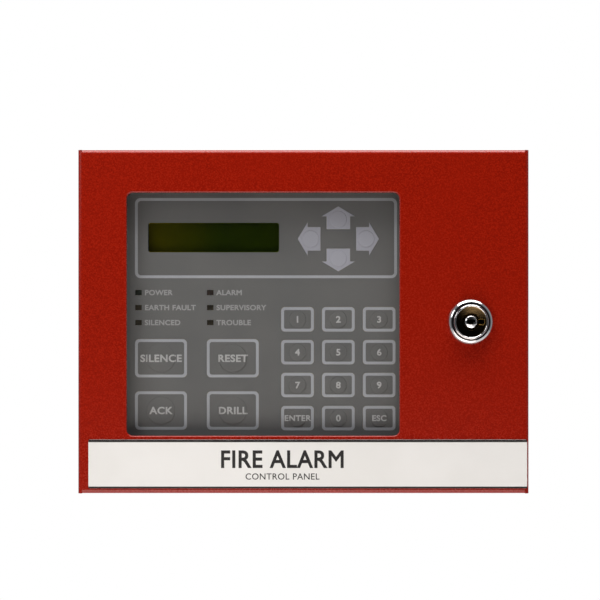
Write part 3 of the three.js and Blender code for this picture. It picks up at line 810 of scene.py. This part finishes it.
def make_lock_barrel():
    """The lock's chrome head: a round bead, a thin rolled rim and a turned face, and its barrel."""
    seat = FACE + 0.1
    rear, front = node_box("lock_barrel")["out"]
    bore, rim, face, bead = 4.3, 8.45, 55.0, 2.7
    profile = [(bore, rear), (BARREL_RADIUS - 0.5, rear), (BARREL_RADIUS, rear + 0.5)]
    level = rear + 1
    while level < seat - 3.2:
        profile += [(BARREL_RADIUS, level), (BARREL_RADIUS, level + 0.3), (9.0, level + 0.65)]
        level += 1
    profile += [(BARREL_RADIUS, level), (BARREL_RADIUS, seat)]
    profile += [(HEAD_RADIUS - 0.3, seat), (HEAD_RADIUS, seat + 0.25), (HEAD_RADIUS, seat + 1.6)]
    profile += arc(HEAD_RADIUS - bead, seat + 1.6, bead, 6, 72, 12)
    profile += [(9.3, seat + 4.2), (9.05, seat + 4.25), (8.95, seat + 4.9)]
    profile += arc(rim, front - 0.5, 0.5, 0, 180, 10)
    profile += [(7.9, face + 0.62), (7.7, face + 0.5)]
    profile += [(bore + 0.3, face), (bore, face - 0.3), (bore, rear)]
    barrel = turned("lock_head", (LOCK_X, 0), profile, 72, ring=True)
    cut(barrel, *flats(20, BARREL_FLAT, rear - 1, FACE - 0.02))
    notch_x = (LOCK_X + 3.5, LOCK_X + 7.3)
    notch = rounded_block("notch", notch_x, (face - 0.35, front + 1), (-1.6, 1.6), 1.2, 6)
    cut(barrel, notch)
    coated(barrel, CHROME)
    barrel.data.materials.append(TURNED_FACE)
    for spot in barrel.data.polygons:
        centre = spot.center / MM
        radius = math.hypot(centre.x - LOCK_X, centre.z)
        if radius < 7.92 and -centre.y > face - 0.4 and abs(spot.normal.y) > 0.5:
            spot.material_index = 1
    fitted(smooth(barrel, 32), "door", "lock_barrel")
    # The brass edge of the notch is open towards the plug.
    rim = rounded_block("notch_brass", notch_x, (face - 0.3, face + 0.55), (-1.65, 1.65), 1.25, 6)
    middle_of_it = (LOCK_X + 2, LOCK_X + 6.8)
    cut(rim, rounded_block("inside", middle_of_it, (face - 1, face + 2), (-1.15, 1.15), 0.8, 6))
    fitted(softened(coated(rim, BRASS), 0.1, 2), "door")


def make_lock_nut():
    box = node_box("lock_nut")
    back, front = box["out"]
    nut = turned("nut", (LOCK_X, 0), [(13.2, back), (13.2, front)], 6)
    dome = [(11.7, back), (13.4, back + 1), (13.4, front + 1)]
    cut(nut, turned("chamfer", (LOCK_X, 0), dome, 48), operation="INTERSECT")
    hole = turned("hole", (LOCK_X, 0), [(9.62, back - 1), (9.62, front + 1)], 48)
    cut(nut, hole)
    nut.name = "lock_ring_nut"
    fitted(softened(coated(nut, ZINC), 0.12, 2), "door", "lock_nut")


def make_lock_plug():
    """The part that the key turns: a domed nose with a keyway in front, a square tail behind."""
    back, front = node_box("lock_plug")["out"]
    shoulder = 31.7
    nose = 3.3
    lip = 54.6
    profile = [(0, shoulder), (4, shoulder), (4, lip - 0.2), (3.8, lip), (nose, lip + 0.05)]
    for step in range(1, 9):
        angle = math.radians(90 * step / 9)
        profile.append((nose * math.cos(angle), lip + 0.3 + (front - lip - 0.3) * math.sin(angle)))
    profile.append((0, front))
    plug = turned("lock_plug_face", (LOCK_X, 0), profile, 48)
    square = around(LOCK_X, 0, 5.6, 5.6)
    tail = bevel(block("tail", square[0], (back, shoulder + 1), square[1]), runs_along(OUTWARDS), 0.4, 3)
    cut(plug, tail, operation="UNION")
    slot = block("slot", (LOCK_X - 2.2, LOCK_X + 2.2), (45, front + 1), (-0.1, 1.05))
    ward = block("ward", (LOCK_X - 2.2, LOCK_X + 1.2), (45, front + 1), (-1.05, 0.1))
    screw_hole = turned("screw_hole", (LOCK_X, 0), [(1.7, back - 1), (1.7, back + 6)], 20)
    cut(plug, slot, ward, screw_hole)
    coated(plug, CHROME)
    # Its second finish, on the keyway's walls, is black: painted shade for the deep slot.
    plug.data.materials.append(BLACK_BEZEL_AND_KEYWAY_SHADE)
    plug.data.materials.append(TURNED_FACE)
    for spot in plug.data.polygons:
        centre = spot.center / MM
        across = abs(centre.x - LOCK_X), abs(centre.z)
        if across[0] < 2.3 and across[1] < 1.15 and 44 < -centre.y < front - 0.05:
            spot.material_index = 1
        elif math.hypot(*across) > nose - 0.05 and -centre.y > lip - 0.3:
            spot.material_index = 2
    fitted(smooth(plug, 32), "lock", "lock_plug")


def make_lock_cam():
    cam = softened(coated(merged_copy("lock_cam", "lock_cam_plate"), ZINC), 0.25, 2)
    fitted(cam, "lock", "lock_cam")


def recess_cross(x, z, out, size, depth):
    """Two blocks that cut a cross-shaped driver recess."""
    wide, narrow = size, size * 0.28
    spans = [around(x, z, wide, narrow), around(x, z, narrow, wide)]
    return [block("arm", across, (out - depth, out + 1), up) for across, up in spans]


def make_cam_screw():
    """A hexagon screw with a washer face, seen from inside the box."""
    back, front = node_box("cam_screw")["out"]
    shank = [(0, 27.2), (4.35, 27.2), (4.35, 28.9), (1.45, 28.9), (1.45, front), (0, front)]
    screw = turned("cam_bolt", (LOCK_X, 0), shank, 32)
    head = turned("head", (LOCK_X, 0), [(3.9, back), (3.9, 28.2)], 6)
    cut(screw, head, operation="UNION")
    fitted(softened(coated(screw, ZINC), 0.15, 2), "lock", "cam_screw")


# ------------------------------------------------------------------ cabinet

BOX = node_box("back_box")
KNOCKOUTS_X = (-58, 58)
KNOCKOUT_OUT = 22
KNOCKOUT_RADIUS = 11.1
WALL_HOLE_X = 95.25
WALL_HOLE_Z = 63.5
WALL_HOLE_RADIUS = 3.1
KEYHOLE_MOUTH_RADIUS = 5
KEYHOLE_DROP = 9


def press_knockout(shell, x, side):
    """A disc held by the inner half of the wall's thickness, inside a ring-shaped groove."""
    centre = (x, KNOCKOUT_OUT)
    surface = side * BOX["z"][1]
    floor = surface - side * 0.55
    outer, inner = KNOCKOUT_RADIUS, KNOCKOUT_RADIUS - 0.75
    groove = turned("groove", centre, [(outer, floor), (outer, surface + side)], 64, UPWARDS)
    disc = turned("disc", centre, [(inner, floor - side * 0.3), (inner, surface)], 64, UPWARDS)
    cut(shell, groove)
    cut(shell, disc, operation="UNION")


def back_hole(x, z, keyhole):
    """The blocks that cut a wall screw's hole; a keyhole also has a wide mouth under its slot."""
    back, front = -2, SHEET + 2
    hole = turned("hole", (x, z), [(WALL_HOLE_RADIUS, back), (WALL_HOLE_RADIUS, front)], 32)
    if not keyhole:
        return [hole]
    low = z - KEYHOLE_DROP
    neck = block("neck", (x - WALL_HOLE_RADIUS, x + WALL_HOLE_RADIUS), (back, front), (low, z))
    mouth = [(KEYHOLE_MOUTH_RADIUS, back), (KEYHOLE_MOUTH_RADIUS, front)]
    return [hole, neck, turned("mouth", (x, low), mouth, 32)]


def make_box_shell():
    """A tray folded from one sheet, its four corners closed with a weld."""
    shell = block("box_shell", BOX["x"], BOX["out"], BOX["z"])
    bevel(shell, lambda a, b: at_out(0)(a, b), 1.6, 5)
    pick(shell, "FACE", lambda centre, normal: normal.y < -0.9)
    bpy.ops.mesh.inset(thickness=SHEET * MM)
    depth = BOX["out"][1] - SHEET
    bpy.ops.mesh.extrude_region_move(TRANSFORM_OT_translate={"value": (0, depth * MM, 0)})
    bpy.ops.object.mode_set(mode="OBJECT")
    for x in KNOCKOUTS_X:
        press_knockout(shell, x, 1)
        press_knockout(shell, x, -1)
    for side in (-1, 1):
        cut(shell, *back_hole(side * WALL_HOLE_X, WALL_HOLE_Z, True))
        cut(shell, *back_hole(side * WALL_HOLE_X, -WALL_HOLE_Z, False))
    entry = rounded_block("entry", (-32, 32), (-2, SHEET + 2), (-62, -26), 4, 8)
    cut(shell, entry)
    for side in (-1, 1):
        bore = [(2.3, side * 80), (2.3, side * 95)]
        cut(shell, turned("bore", (HINGE_X, HINGE_OUT), bore, 32, UPWARDS))
    fitted(softened(coated(shell, BOX_COAT), 0.2, 2), "cabinet", "back_box")


def make_strike():
    strike = coated(merged_copy("latch_strike", "strike_plate"), ZINC)
    fitted(softened(strike, 0.35, 3), "cabinet", "latch_strike")


def make_hinge_pins():
    """Pins with a low round head inside the box and a crowned end in the door's ear."""
    low, high = node_box("hinge_pin_upper")["z"]
    profile = [(0, low), (1.7, low), (2.3, low + 0.3), (2.5, low + 0.7), (2.5, low + 1.4), (2, low + 1.4)]
    profile += [(2, high - 0.5), (1.8, high - 0.15), (1.2, high), (0, high)]
    upper = turned("upper_pin", (HINGE_X, HINGE_OUT), profile, 40, UPWARDS)
    lower = mirrored(upper, "lower_pin", UPWARDS)
    for pin, node in ((upper, "hinge_pin_upper"), (lower, "hinge_pin_lower")):
        fitted(smooth(coated(pin, ZINC)), "cabinet", node)


def make_posts():
    """Hexagon posts: a wide foot, a neck through the circuit board and a tapped end."""
    box = node_box("post_top_left")
    back, front = box["out"]
    shoulder = node_box("circuit_board")["out"][0] - 0.1
    foot = turned("foot", (0, 0), [(4, back), (4, shoulder)], 6)
    chamfers = [(3.3, back), (4.1, back + 0.5), (4.1, shoulder - 0.5), (3.3, shoulder)]
    cut(foot, turned("chamfer", (0, 0), chamfers, 32), operation="INTERSECT")
    neck = turned("neck", (0, 0), [(3, shoulder - 1), (3, front - 0.3), (2.7, front)], 32)
    cut(foot, neck, operation="UNION")
    cut(foot, turned("bore", (0, 0), [(1.75, front - 8), (1.75, front + 1)], 24))
    smooth(coated(foot, ZINC), 30)
    at_corners(foot, "cabinet", "post", "hex_post")


def make_plate_screws():
    """Pan-head screws with a cross recess."""
    back, front = node_box("plate_screw_top_left")["out"]
    seat = front - 2
    profile = [(0, back), (1.0, back), (1.45, back + 0.5), (1.45, seat), (3.05, seat), (3.2, seat + 0.2)]
    profile += [(3.2, seat + 0.9), (3.0, seat + 1.4), (2.5, seat + 1.8), (1.6, front), (0, front)]
    screw = turned("screw", (0, 0), profile, 32)
    cut(screw, *recess_cross(0, 0, front, 3.2, 1.1))
    smooth(coated(screw, ZINC))
    at_corners(screw, "cabinet", "plate_screw", "pan_screw")


# ------------------------------------------------------------------ electronics


def make_boards():
    for node, name, slot in (
        ("circuit_board", "main_board", "green_circuit_board"),
        ("display_board", "display_carrier", "green_circuit_board"),
    ):
        board = coated(merged_copy(node, name), MASK)
        fitted(softened(board, 0.08, 1), "cabinet", node)


def make_terminals():
    """A row of screw terminals: a screw above and a wire funnel below for each way."""
    box = node_box("terminal_block")
    body = merged_copy("terminal_block", "screw_terminals")
    ways = 7
    pitch = (box["z"][1] - box["z"][0] - 1) / ways
    front = box["out"][1]
    screws = []
    for way in range(ways):
        z = box["z"][0] + 0.5 + pitch * (way + 0.5)
        x = 72.5
        cut(body, turned("well", (x, z), [(2.0, front - 2), (2.0, front + 1)], 24))
        funnel_x, funnel_z = (box["x"][1] - 2, box["x"][1] + 1), (z - 1.7, z + 1.7)
        cut(body, block("funnel", funnel_x, (box["out"][0] + 1.4, box["out"][0] + 4.8), funnel_z))
        head = [(0, front - 1.9), (1.85, front - 1.9), (1.85, front - 1.1)]
        head += [(1.5, front - 0.8), (0, front - 0.8)]
        screw = turned("terminal_screw", (x, z), head, 20)
        cut(screw, block("slit", (x - 2, x + 2), (front - 1.3, front), (z - 0.25, z + 0.25)))
        screws.append(coated(smooth(screw), ZINC))
    softened(coated(body, GREEN_PLASTIC), 0.15, 2)
    fitted(joined(body, *screws), "cabinet", "terminal_block")


def make_sounder():
    box = node_box("sounder")
    centre = middle(box["x"]), middle(box["z"])
    back, front = box["out"]
    profile = [(0, back), (6.5, back), (6.5, back + 0.5), (6.9, back + 0.6), (6.9, front - 0.7)]
    profile += arc(6.2, front - 0.7, 0.7, 0, 90, 5)
    profile += [(1.4, front), (1.1, front - 0.3), (1.1, front - 1.4), (0, front - 1.4)]
    case = turned("sounder_case", centre, profile, 56)
    fitted(smooth(coated(case, BLACK_PLASTIC)), "cabinet", "sounder")


def spans(x, z, width, height, back, front):
    """A block's limits on each axis, from its middle and size as the reader sees it."""
    across, up = around(x, z, width, height)
    return across, (back, front), up


def chip(name, x, z, width, height):
    """A surface-mounted chip with bent leads on its two long sides."""
    foot = node_box("circuit_board")["out"][1] + 0.12
    body = block(name, *spans(x, z, width, height, foot + 0.15, foot + 1.9))
    bevel(body, lambda a, b: at_out(foot + 1.9)(a, b), 0.25, 2)
    coated(body, BLACK_PLASTIC)
    leads = []
    pitch = 1.27
    count = int(height / pitch)
    for index in range(count):
        level = z - (count - 1) * pitch / 2 + index * pitch
        for side in (-1, 1):
            spot = x + side * (width / 2 + 0.45)
            lead = block("lead", *spans(spot, level, 1.1, 0.45, foot, foot + 0.9))

            def far_edge(a, b, side=side, spot=spot):
                outer = runs_along(UPWARDS)(a, b) and (a.x - spot) * side > 0
                return outer and a.y < -foot - 0.8

            bevel(lead, far_edge, 0.5, 3)
            leads.append(coated(lead, ZINC))
    return fitted(joined(body, *leads), "cabinet")


def make_board_parts():
    """Small parts on the two tabs of the board that show beside the keypad plate."""
    chip("driver_chip", 72.5, 76, 4, 5.2)
    foot = node_box("circuit_board")["out"][1] + 0.1
    for index, (x, z) in enumerate([(66.5, 49), (66.5, 74), (78.5, 49)]):
        profile = [(0, foot), (1.8, foot), (1.8, foot + 0.4), (1.65, foot + 0.6), (1.8, foot + 0.8)]
        profile += [(1.8, foot + 4.3), (1.5, foot + 4.6), (0, foot + 4.6)]
        can = turned(f"capacitor_{index + 1}", (x, z), profile, 28)
        fitted(smooth(coated(can, BLACK_PLASTIC)), "cabinet")


def make_display():
    """The display: a black bezel, its glass, and the clear filter in the keypad's window."""
    bezel = softened(coated(merged_copy("display_frame", "display_bezel"), BLACK_BEZEL_AND_KEYWAY_SHADE), 0.2, 2)
    fitted(bezel, "cabinet", "display_frame")
    box = node_box("display_glass")
    glass = block("display_panel", box["x"], box["out"], box["z"])
    fitted(softened(coated(glass, DISPLAY), 0.1, 1), "cabinet", "display_glass")
    box = node_box("display_window")
    pane = rounded_block("display_pane", box["x"], box["out"], box["z"], 1.2)
    fitted(softened(coated(pane, FILTER), 0.06, 1), "cabinet", "display_window")


LAMP_WINDOW = (3.5, 2.8)
LAMP_SLOTS = {name: "lamp_amber" for name in RESINS}
LAMP_SLOTS.update({"power": "lamp_green", "alarm": "lamp_red"})


def make_lamps():
    """Status lamps: a flanged foot and a round-nosed body, seen through small square windows."""
    for name, resin in RESINS.items():
        box = node_box(f"lamp_{name}")
        centre = middle(box["x"]), middle(box["z"])
        back, front = box["out"]
        profile = [(0, back), (1.9, back), (1.9, back + 0.9), (1.5, back + 1), (1.5, front - 1.5)]
        profile += arc(0.0, front - 1.5, 1.5, 5, 85, 6)
        profile += [(0, front)]
        light = turned(f"status_{name}", centre, profile, 28)
        fitted(smooth(coated(light, resin)), "cabinet", f"lamp_{name}")


def make_lamp_panes():
    """The film's small clear windows in front of the lamps, each with a fine bevelled edge."""
    for name, resin in RESINS.items():
        box = node_box(f"lamp_{name}")
        width, height = (size - 0.06 for size in LAMP_WINDOW)
        back, front = FILM_BACK + 0.1, FILM - 0.12
        limits = spans(middle(box["x"]), middle(box["z"]), width, height, back, front)
        pane = bevel(block(f"lamp_pane_{name}", *limits), at_out(front), 0.25, 3)
        fitted(smooth(coated(pane, resin)), "cabinet")


# ------------------------------------------------------------------ keypad

KEYPAD = node_box("keypad_overlay")
FILM_BACK, FILM = KEYPAD["out"]
LINE = 1.47
PRINT = FILM + 0.03
KEY_PLAY = 0.07
KEY_WORDS = {"enter": "ENTER", "escape": "ESC", "silence": "SILENCE", "reset": "RESET"}
KEY_WORDS.update({"acknowledge": "ACK", "drill": "DRILL"})
WIDE_KEYS = ["silence", "reset", "acknowledge", "drill"]
SMALL_KEYS = [*"123456789", "enter", "0", "escape"]
# The names, corner radius, dome radius and word height of each kind of key.
KEY_KINDS = [(WIDE_KEYS, 2.8, 7.4, 3.9), (SMALL_KEYS, 2.4, 4.5, 3.5)]
LAMP_WORDS = {
    "power": "POWER",
    "earth_fault": "EARTH FAULT",
    "silenced": "SILENCED",
    "alarm": "ALARM",
    "supervisory": "SUPERVISORY",
    "trouble": "TROUBLE",
}
FRAME = {"x": (-88.7, 49.3), "z": (22.8, 65.0)}
DOME_RISE = 0.36
RIM_WIDTH = 0.5


def dome_profile(radius):
    """A low dome with a steep rim, as a forming die presses it."""
    steps = [(0, -0.2), (0, 0), (0.1, 0.24), (RIM_WIDTH, 0.3), (radius * 0.5, 0.35), (radius, DOME_RISE)]
    return [(radius - inset, FILM + height) for inset, height in steps]


def key_words(words, x, z, height, radius):
    """A key's words: what lies beyond the dome's rim is printed on the flat of the key."""
    raised = lettering("letters", words, x, FILM + DOME_RISE, z, height)
    if raised.dimensions[0] / 2 < (radius - 0.3) * MM:
        return raised
    flat = lettering("letters", words, x, FILM, z, height)
    reach = radius - 0.15
    over_dome = turned("round", (x, z), [(reach, FILM), (reach, FILM + 1)], 48)
    return joined(cut(raised, over_dome, operation="INTERSECT"), flat)


def key_pad(name, width, height, radius, dome):
    """One key: a film pad with a printed outline and a round dome pressed up in it."""
    back = node_box("key_1")["out"][0]
    across, up = around(0, 0, width, height)
    pad = rounded_block(name, across, (back, FILM), up, radius, 6)
    pad.data.materials.append(KEYPAD_GREY)
    pad.data.materials.append(OUTLINE_GREY)
    pick(pad, "FACE", lambda centre, normal: normal.y < -0.9)
    bpy.ops.mesh.inset(thickness=0.12 * MM)
    bpy.ops.mesh.inset(thickness=LINE * MM)
    bpy.ops.object.mode_set(mode="OBJECT")

    def on_line(centre):
        beside = width / 2 - abs(centre.x), height / 2 - abs(centre.z)
        return 0.12 < min(beside) < LINE

    for face in pad.data.polygons:
        if face.normal.y < -0.9 and on_line(face.center / MM):
            face.material_index = 1
    button = coated(turned("dome", (0, 0), dome_profile(dome), 48), KEYPAD_GREY)
    return smooth(joined(pad, button), 40)


def make_round_keys():
    for names, radius, dome, word_height in KEY_KINDS:
        box = node_box(f"key_{names[0]}")
        width = box["x"][1] - box["x"][0]
        height = box["z"][1] - box["z"][0]
        master = key_pad("key_master", width, height, radius, dome)
        for name in names:
            spot = node_box(f"key_{name}")
            x, z = middle(spot["x"]), middle(spot["z"])
            pad = copied(master, f"pad_{name}", (x, 0, z))
            words = KEY_WORDS.get(name, name)
            size = word_height if len(words) < 3 or name in WIDE_KEYS else 3.1
            letters = key_words(words, x, z, size, dome)
            joined(pad, coated(letters, LETTER_GREY))
            fitted(pad, f"key_{name}", f"key_{name}")
        bpy.data.objects.remove(master)


ARROW_TURNS = {"right": 0, "up": -90, "left": 180, "down": 90}


def arrow_pad(name, out, grow=0.0):
    """An arrow that points to the right, with the middle of its flat end at the origin."""
    box = node_box("key_right")
    length = box["x"][1] - box["x"][0]
    half_head = (box["z"][1] - box["z"][0]) / 2 + 2 * grow
    half_stem = 6.2 + grow
    neck, tip = length - 5.2 - grow, length + 1.2 * grow
    head = block(name, (neck, tip), out, (-half_head, half_head))
    pick(head, "FACE", lambda centre, normal: normal.x > 0.9)
    bpy.ops.transform.resize(value=(1, 1, 0.0002), center_override=place(tip, 0, 0))
    bpy.ops.mesh.select_all(action="SELECT")
    bpy.ops.mesh.remove_doubles(threshold=0.01 * MM)
    bpy.ops.object.mode_set(mode="OBJECT")
    stem = block("stem", (-grow, neck + 0.5), out, (-half_stem, half_stem))
    return cut(head, stem, operation="UNION")


def arrow_spot(name):
    """The middle of an arrow's flat end."""
    box = node_box(f"key_{name}")
    x = {"right": box["x"][0], "left": box["x"][1]}.get(name, middle(box["x"]))
    z = {"up": box["z"][0], "down": box["z"][1]}.get(name, middle(box["z"]))
    return x, 0, z


def make_arrow_keys():
    """Solid light arrows, each with a round dome pressed up near its middle."""
    back = node_box("key_right")["out"][0]
    master = arrow_pad("arrow_master", (back, FILM))
    bevel(master, at_out(FILM), 0.1, 2)
    dome = turned("dome", (5.2, 0), dome_profile(4.4), 48)
    smooth(coated(joined(master, dome), ARROW_GREY))
    for name, turn in ARROW_TURNS.items():
        pad = copied(master, f"arrow_{name}", arrow_spot(name), (0, turn, 0))
        fitted(pad, f"key_{name}", f"key_{name}")
    bpy.data.objects.remove(master)


def grown(span, by):
    return span[0] - by, span[1] + by


def make_film():
    """The keypad's printed film: windows for the keys, lamps and display, and all its fixed print."""
    film = rounded_block("keypad_film", KEYPAD["x"], (FILM_BACK, FILM), KEYPAD["z"], 2, 4)
    through = (FILM_BACK - 1, FILM + 1)
    for names, radius, _, _ in KEY_KINDS:
        for name in names:
            box = node_box(f"key_{name}")
            across, up = grown(box["x"], KEY_PLAY), grown(box["z"], KEY_PLAY)
            cut(film, rounded_block("hole", across, through, up, radius, 6))
    master = arrow_pad("hole", through, KEY_PLAY)
    for name, turn in ARROW_TURNS.items():
        cut(film, copied(master, "hole", arrow_spot(name), (0, turn, 0)))
    bpy.data.objects.remove(master)
    for name in LAMP_WORDS:
        box = node_box(f"lamp_{name}")
        across, up = around(middle(box["x"]), middle(box["z"]), *LAMP_WINDOW)
        cut(film, block("hole", across, through, up))
    window = node_box("display_window")
    hole = rounded_block("hole", grown(window["x"], 0.3), through, grown(window["z"], 0.3), 1.2, 6)
    cut(film, hole)
    coated(film, KEYPAD_GREY)
    border = rounded_block("border", FRAME["x"], (FILM - 0.1, PRINT), FRAME["z"], 3, 8)
    inner = rounded_block("inner", grown(FRAME["x"], -LINE), through, grown(FRAME["z"], -LINE), 1.8, 8)
    printing = [coated(cut(border, inner), OUTLINE_GREY)]
    for name, words in LAMP_WORDS.items():
        box = node_box(f"lamp_{name}")
        start = middle(box["x"]) + 3.3
        label = lettering("words", words, start, FILM, middle(box["z"]), 2.8, "LEFT")
        printing.append(coated(label, LAMP_LETTER_GREY))
    fitted(smooth(joined(film, *printing), 30), "cabinet", "keypad_overlay")


def make_keypad_backing():
    plate = coated(merged_copy("keypad_plate", "carrier_plate"), ZINC)
    fitted(softened(plate, 0.15, 2), "cabinet", "keypad_plate")
    circuit = coated(merged_copy("keypad_circuit", "contact_film"), AMBER_FILM)
    fitted(circuit, "cabinet", "keypad_circuit")


# ------------------------------------------------------------------ making it all

make_door_skin()
make_window_lens()
make_lens_nuts()
make_name_strip()
make_lock_barrel()
make_lock_nut()
make_lock_plug()
make_lock_cam()
make_cam_screw()
make_box_shell()
make_strike()
make_hinge_pins()
make_posts()
make_plate_screws()
make_boards()
make_terminals()
make_sounder()
make_board_parts()
make_display()
make_lamps()
make_lamp_panes()
make_round_keys()
make_arrow_keys()
make_film()
make_keypad_backing()


# ------------------------------------------------------------------ studio


def floor():
    nothing_selected()
    bpy.ops.mesh.primitive_plane_add(size=3, location=(0, 0, -0.6))
    ground = named("studio_floor")
    finish = Finish("pale_floor")
    grain = finish.noise(40, 2)
    color = finish.blend(grain, (0.86, 0.86, 0.86, 1), (0.9, 0.9, 0.9, 1))
    coated(ground, finish.shown(finish.surface(color, 0.9)))


def lamp(name, spot, aim, size, power, color):
    """A soft lamp of [width, height] at a spot, aimed at a point."""
    data = bpy.data.lights.new(name, "AREA")
    data.shape = "RECTANGLE"
    data.size, data.size_y = size
    data.energy = power
    data.color = color
    light = bpy.data.objects.new(name, data)
    bpy.context.scene.collection.objects.link(light)
    light.location = spot
    direction = Vector(aim) - Vector(spot)
    light.rotation_euler = direction.to_track_quat("-Z", "Y").to_euler()


def surroundings():
    """White where the camera looks past the object. The room is grey, and dark behind the reader."""
    world = bpy.data.worlds.new("studio")
    bpy.context.scene.world = world
    world.use_nodes = True
    nodes, links = world.node_tree.nodes, world.node_tree.links
    nodes.clear()
    output = nodes.new("ShaderNodeOutputWorld")
    mix = nodes.new("ShaderNodeMixShader")
    rays = nodes.new("ShaderNodeLightPath")
    toward = nodes.new("ShaderNodeTexCoord")
    parts = nodes.new("ShaderNodeSeparateXYZ")
    fall = nodes.new("ShaderNodeMapRange")
    fall.inputs["From Min"].default_value = -0.9
    fall.inputs["From Max"].default_value = -0.2
    fall.inputs["To Min"].default_value = 0.01
    fall.inputs["To Max"].default_value = 0.34
    room = nodes.new("ShaderNodeBackground")
    room.inputs["Color"].default_value = (0.92, 0.96, 1.0, 1)
    backdrop = nodes.new("ShaderNodeBackground")
    backdrop.inputs["Color"].default_value = (1, 1, 1, 1)
    links.new(toward.outputs["Generated"], parts.inputs[0])
    links.new(parts.outputs["Y"], fall.inputs["Value"])
    links.new(fall.outputs["Result"], room.inputs["Strength"])
    links.new(rays.outputs["Is Camera Ray"], mix.inputs["Fac"])
    links.new(room.outputs["Background"], mix.inputs[1])
    links.new(backdrop.outputs["Background"], mix.inputs[2])
    links.new(mix.outputs["Shader"], output.inputs["Surface"])


def camera():
    """Straight in front of the door, with the whole panel a little below the middle of the view."""
    distance = 0.9
    width_seen = 0.3126
    data = bpy.data.cameras.new("camera")
    data.sensor_width = 36
    data.lens = 36 * distance / width_seen
    data.clip_start = 0.01
    view = bpy.data.objects.new("camera", data)
    bpy.context.scene.collection.objects.link(view)
    view.location = (-0.0018, -(FACE * MM + distance), 0.0113)
    view.rotation_euler = (math.pi / 2, 0, 0)
    bpy.context.scene.camera = view


floor()
surroundings()
camera()
CENTRE = (0, 0, 0)
COOL_WHITE = (1.0, 0.99, 0.98)
WARM_WHITE = (1.0, 0.9, 0.8)
lamp("overhead_light", (0.06, -0.24, 0.95), CENTRE, (1.3, 0.6), 21, COOL_WHITE)
lamp("side_light", (-0.62, -0.55, 0.34), CENTRE, (0.3, 0.3), 1.5, COOL_WHITE)
lamp("bounce_light", (-0.05, -0.4, -0.45), CENTRE, (0.6, 0.6), 2.2, WARM_WHITE)
bpy.context.scene.view_settings.view_transform = "Standard"
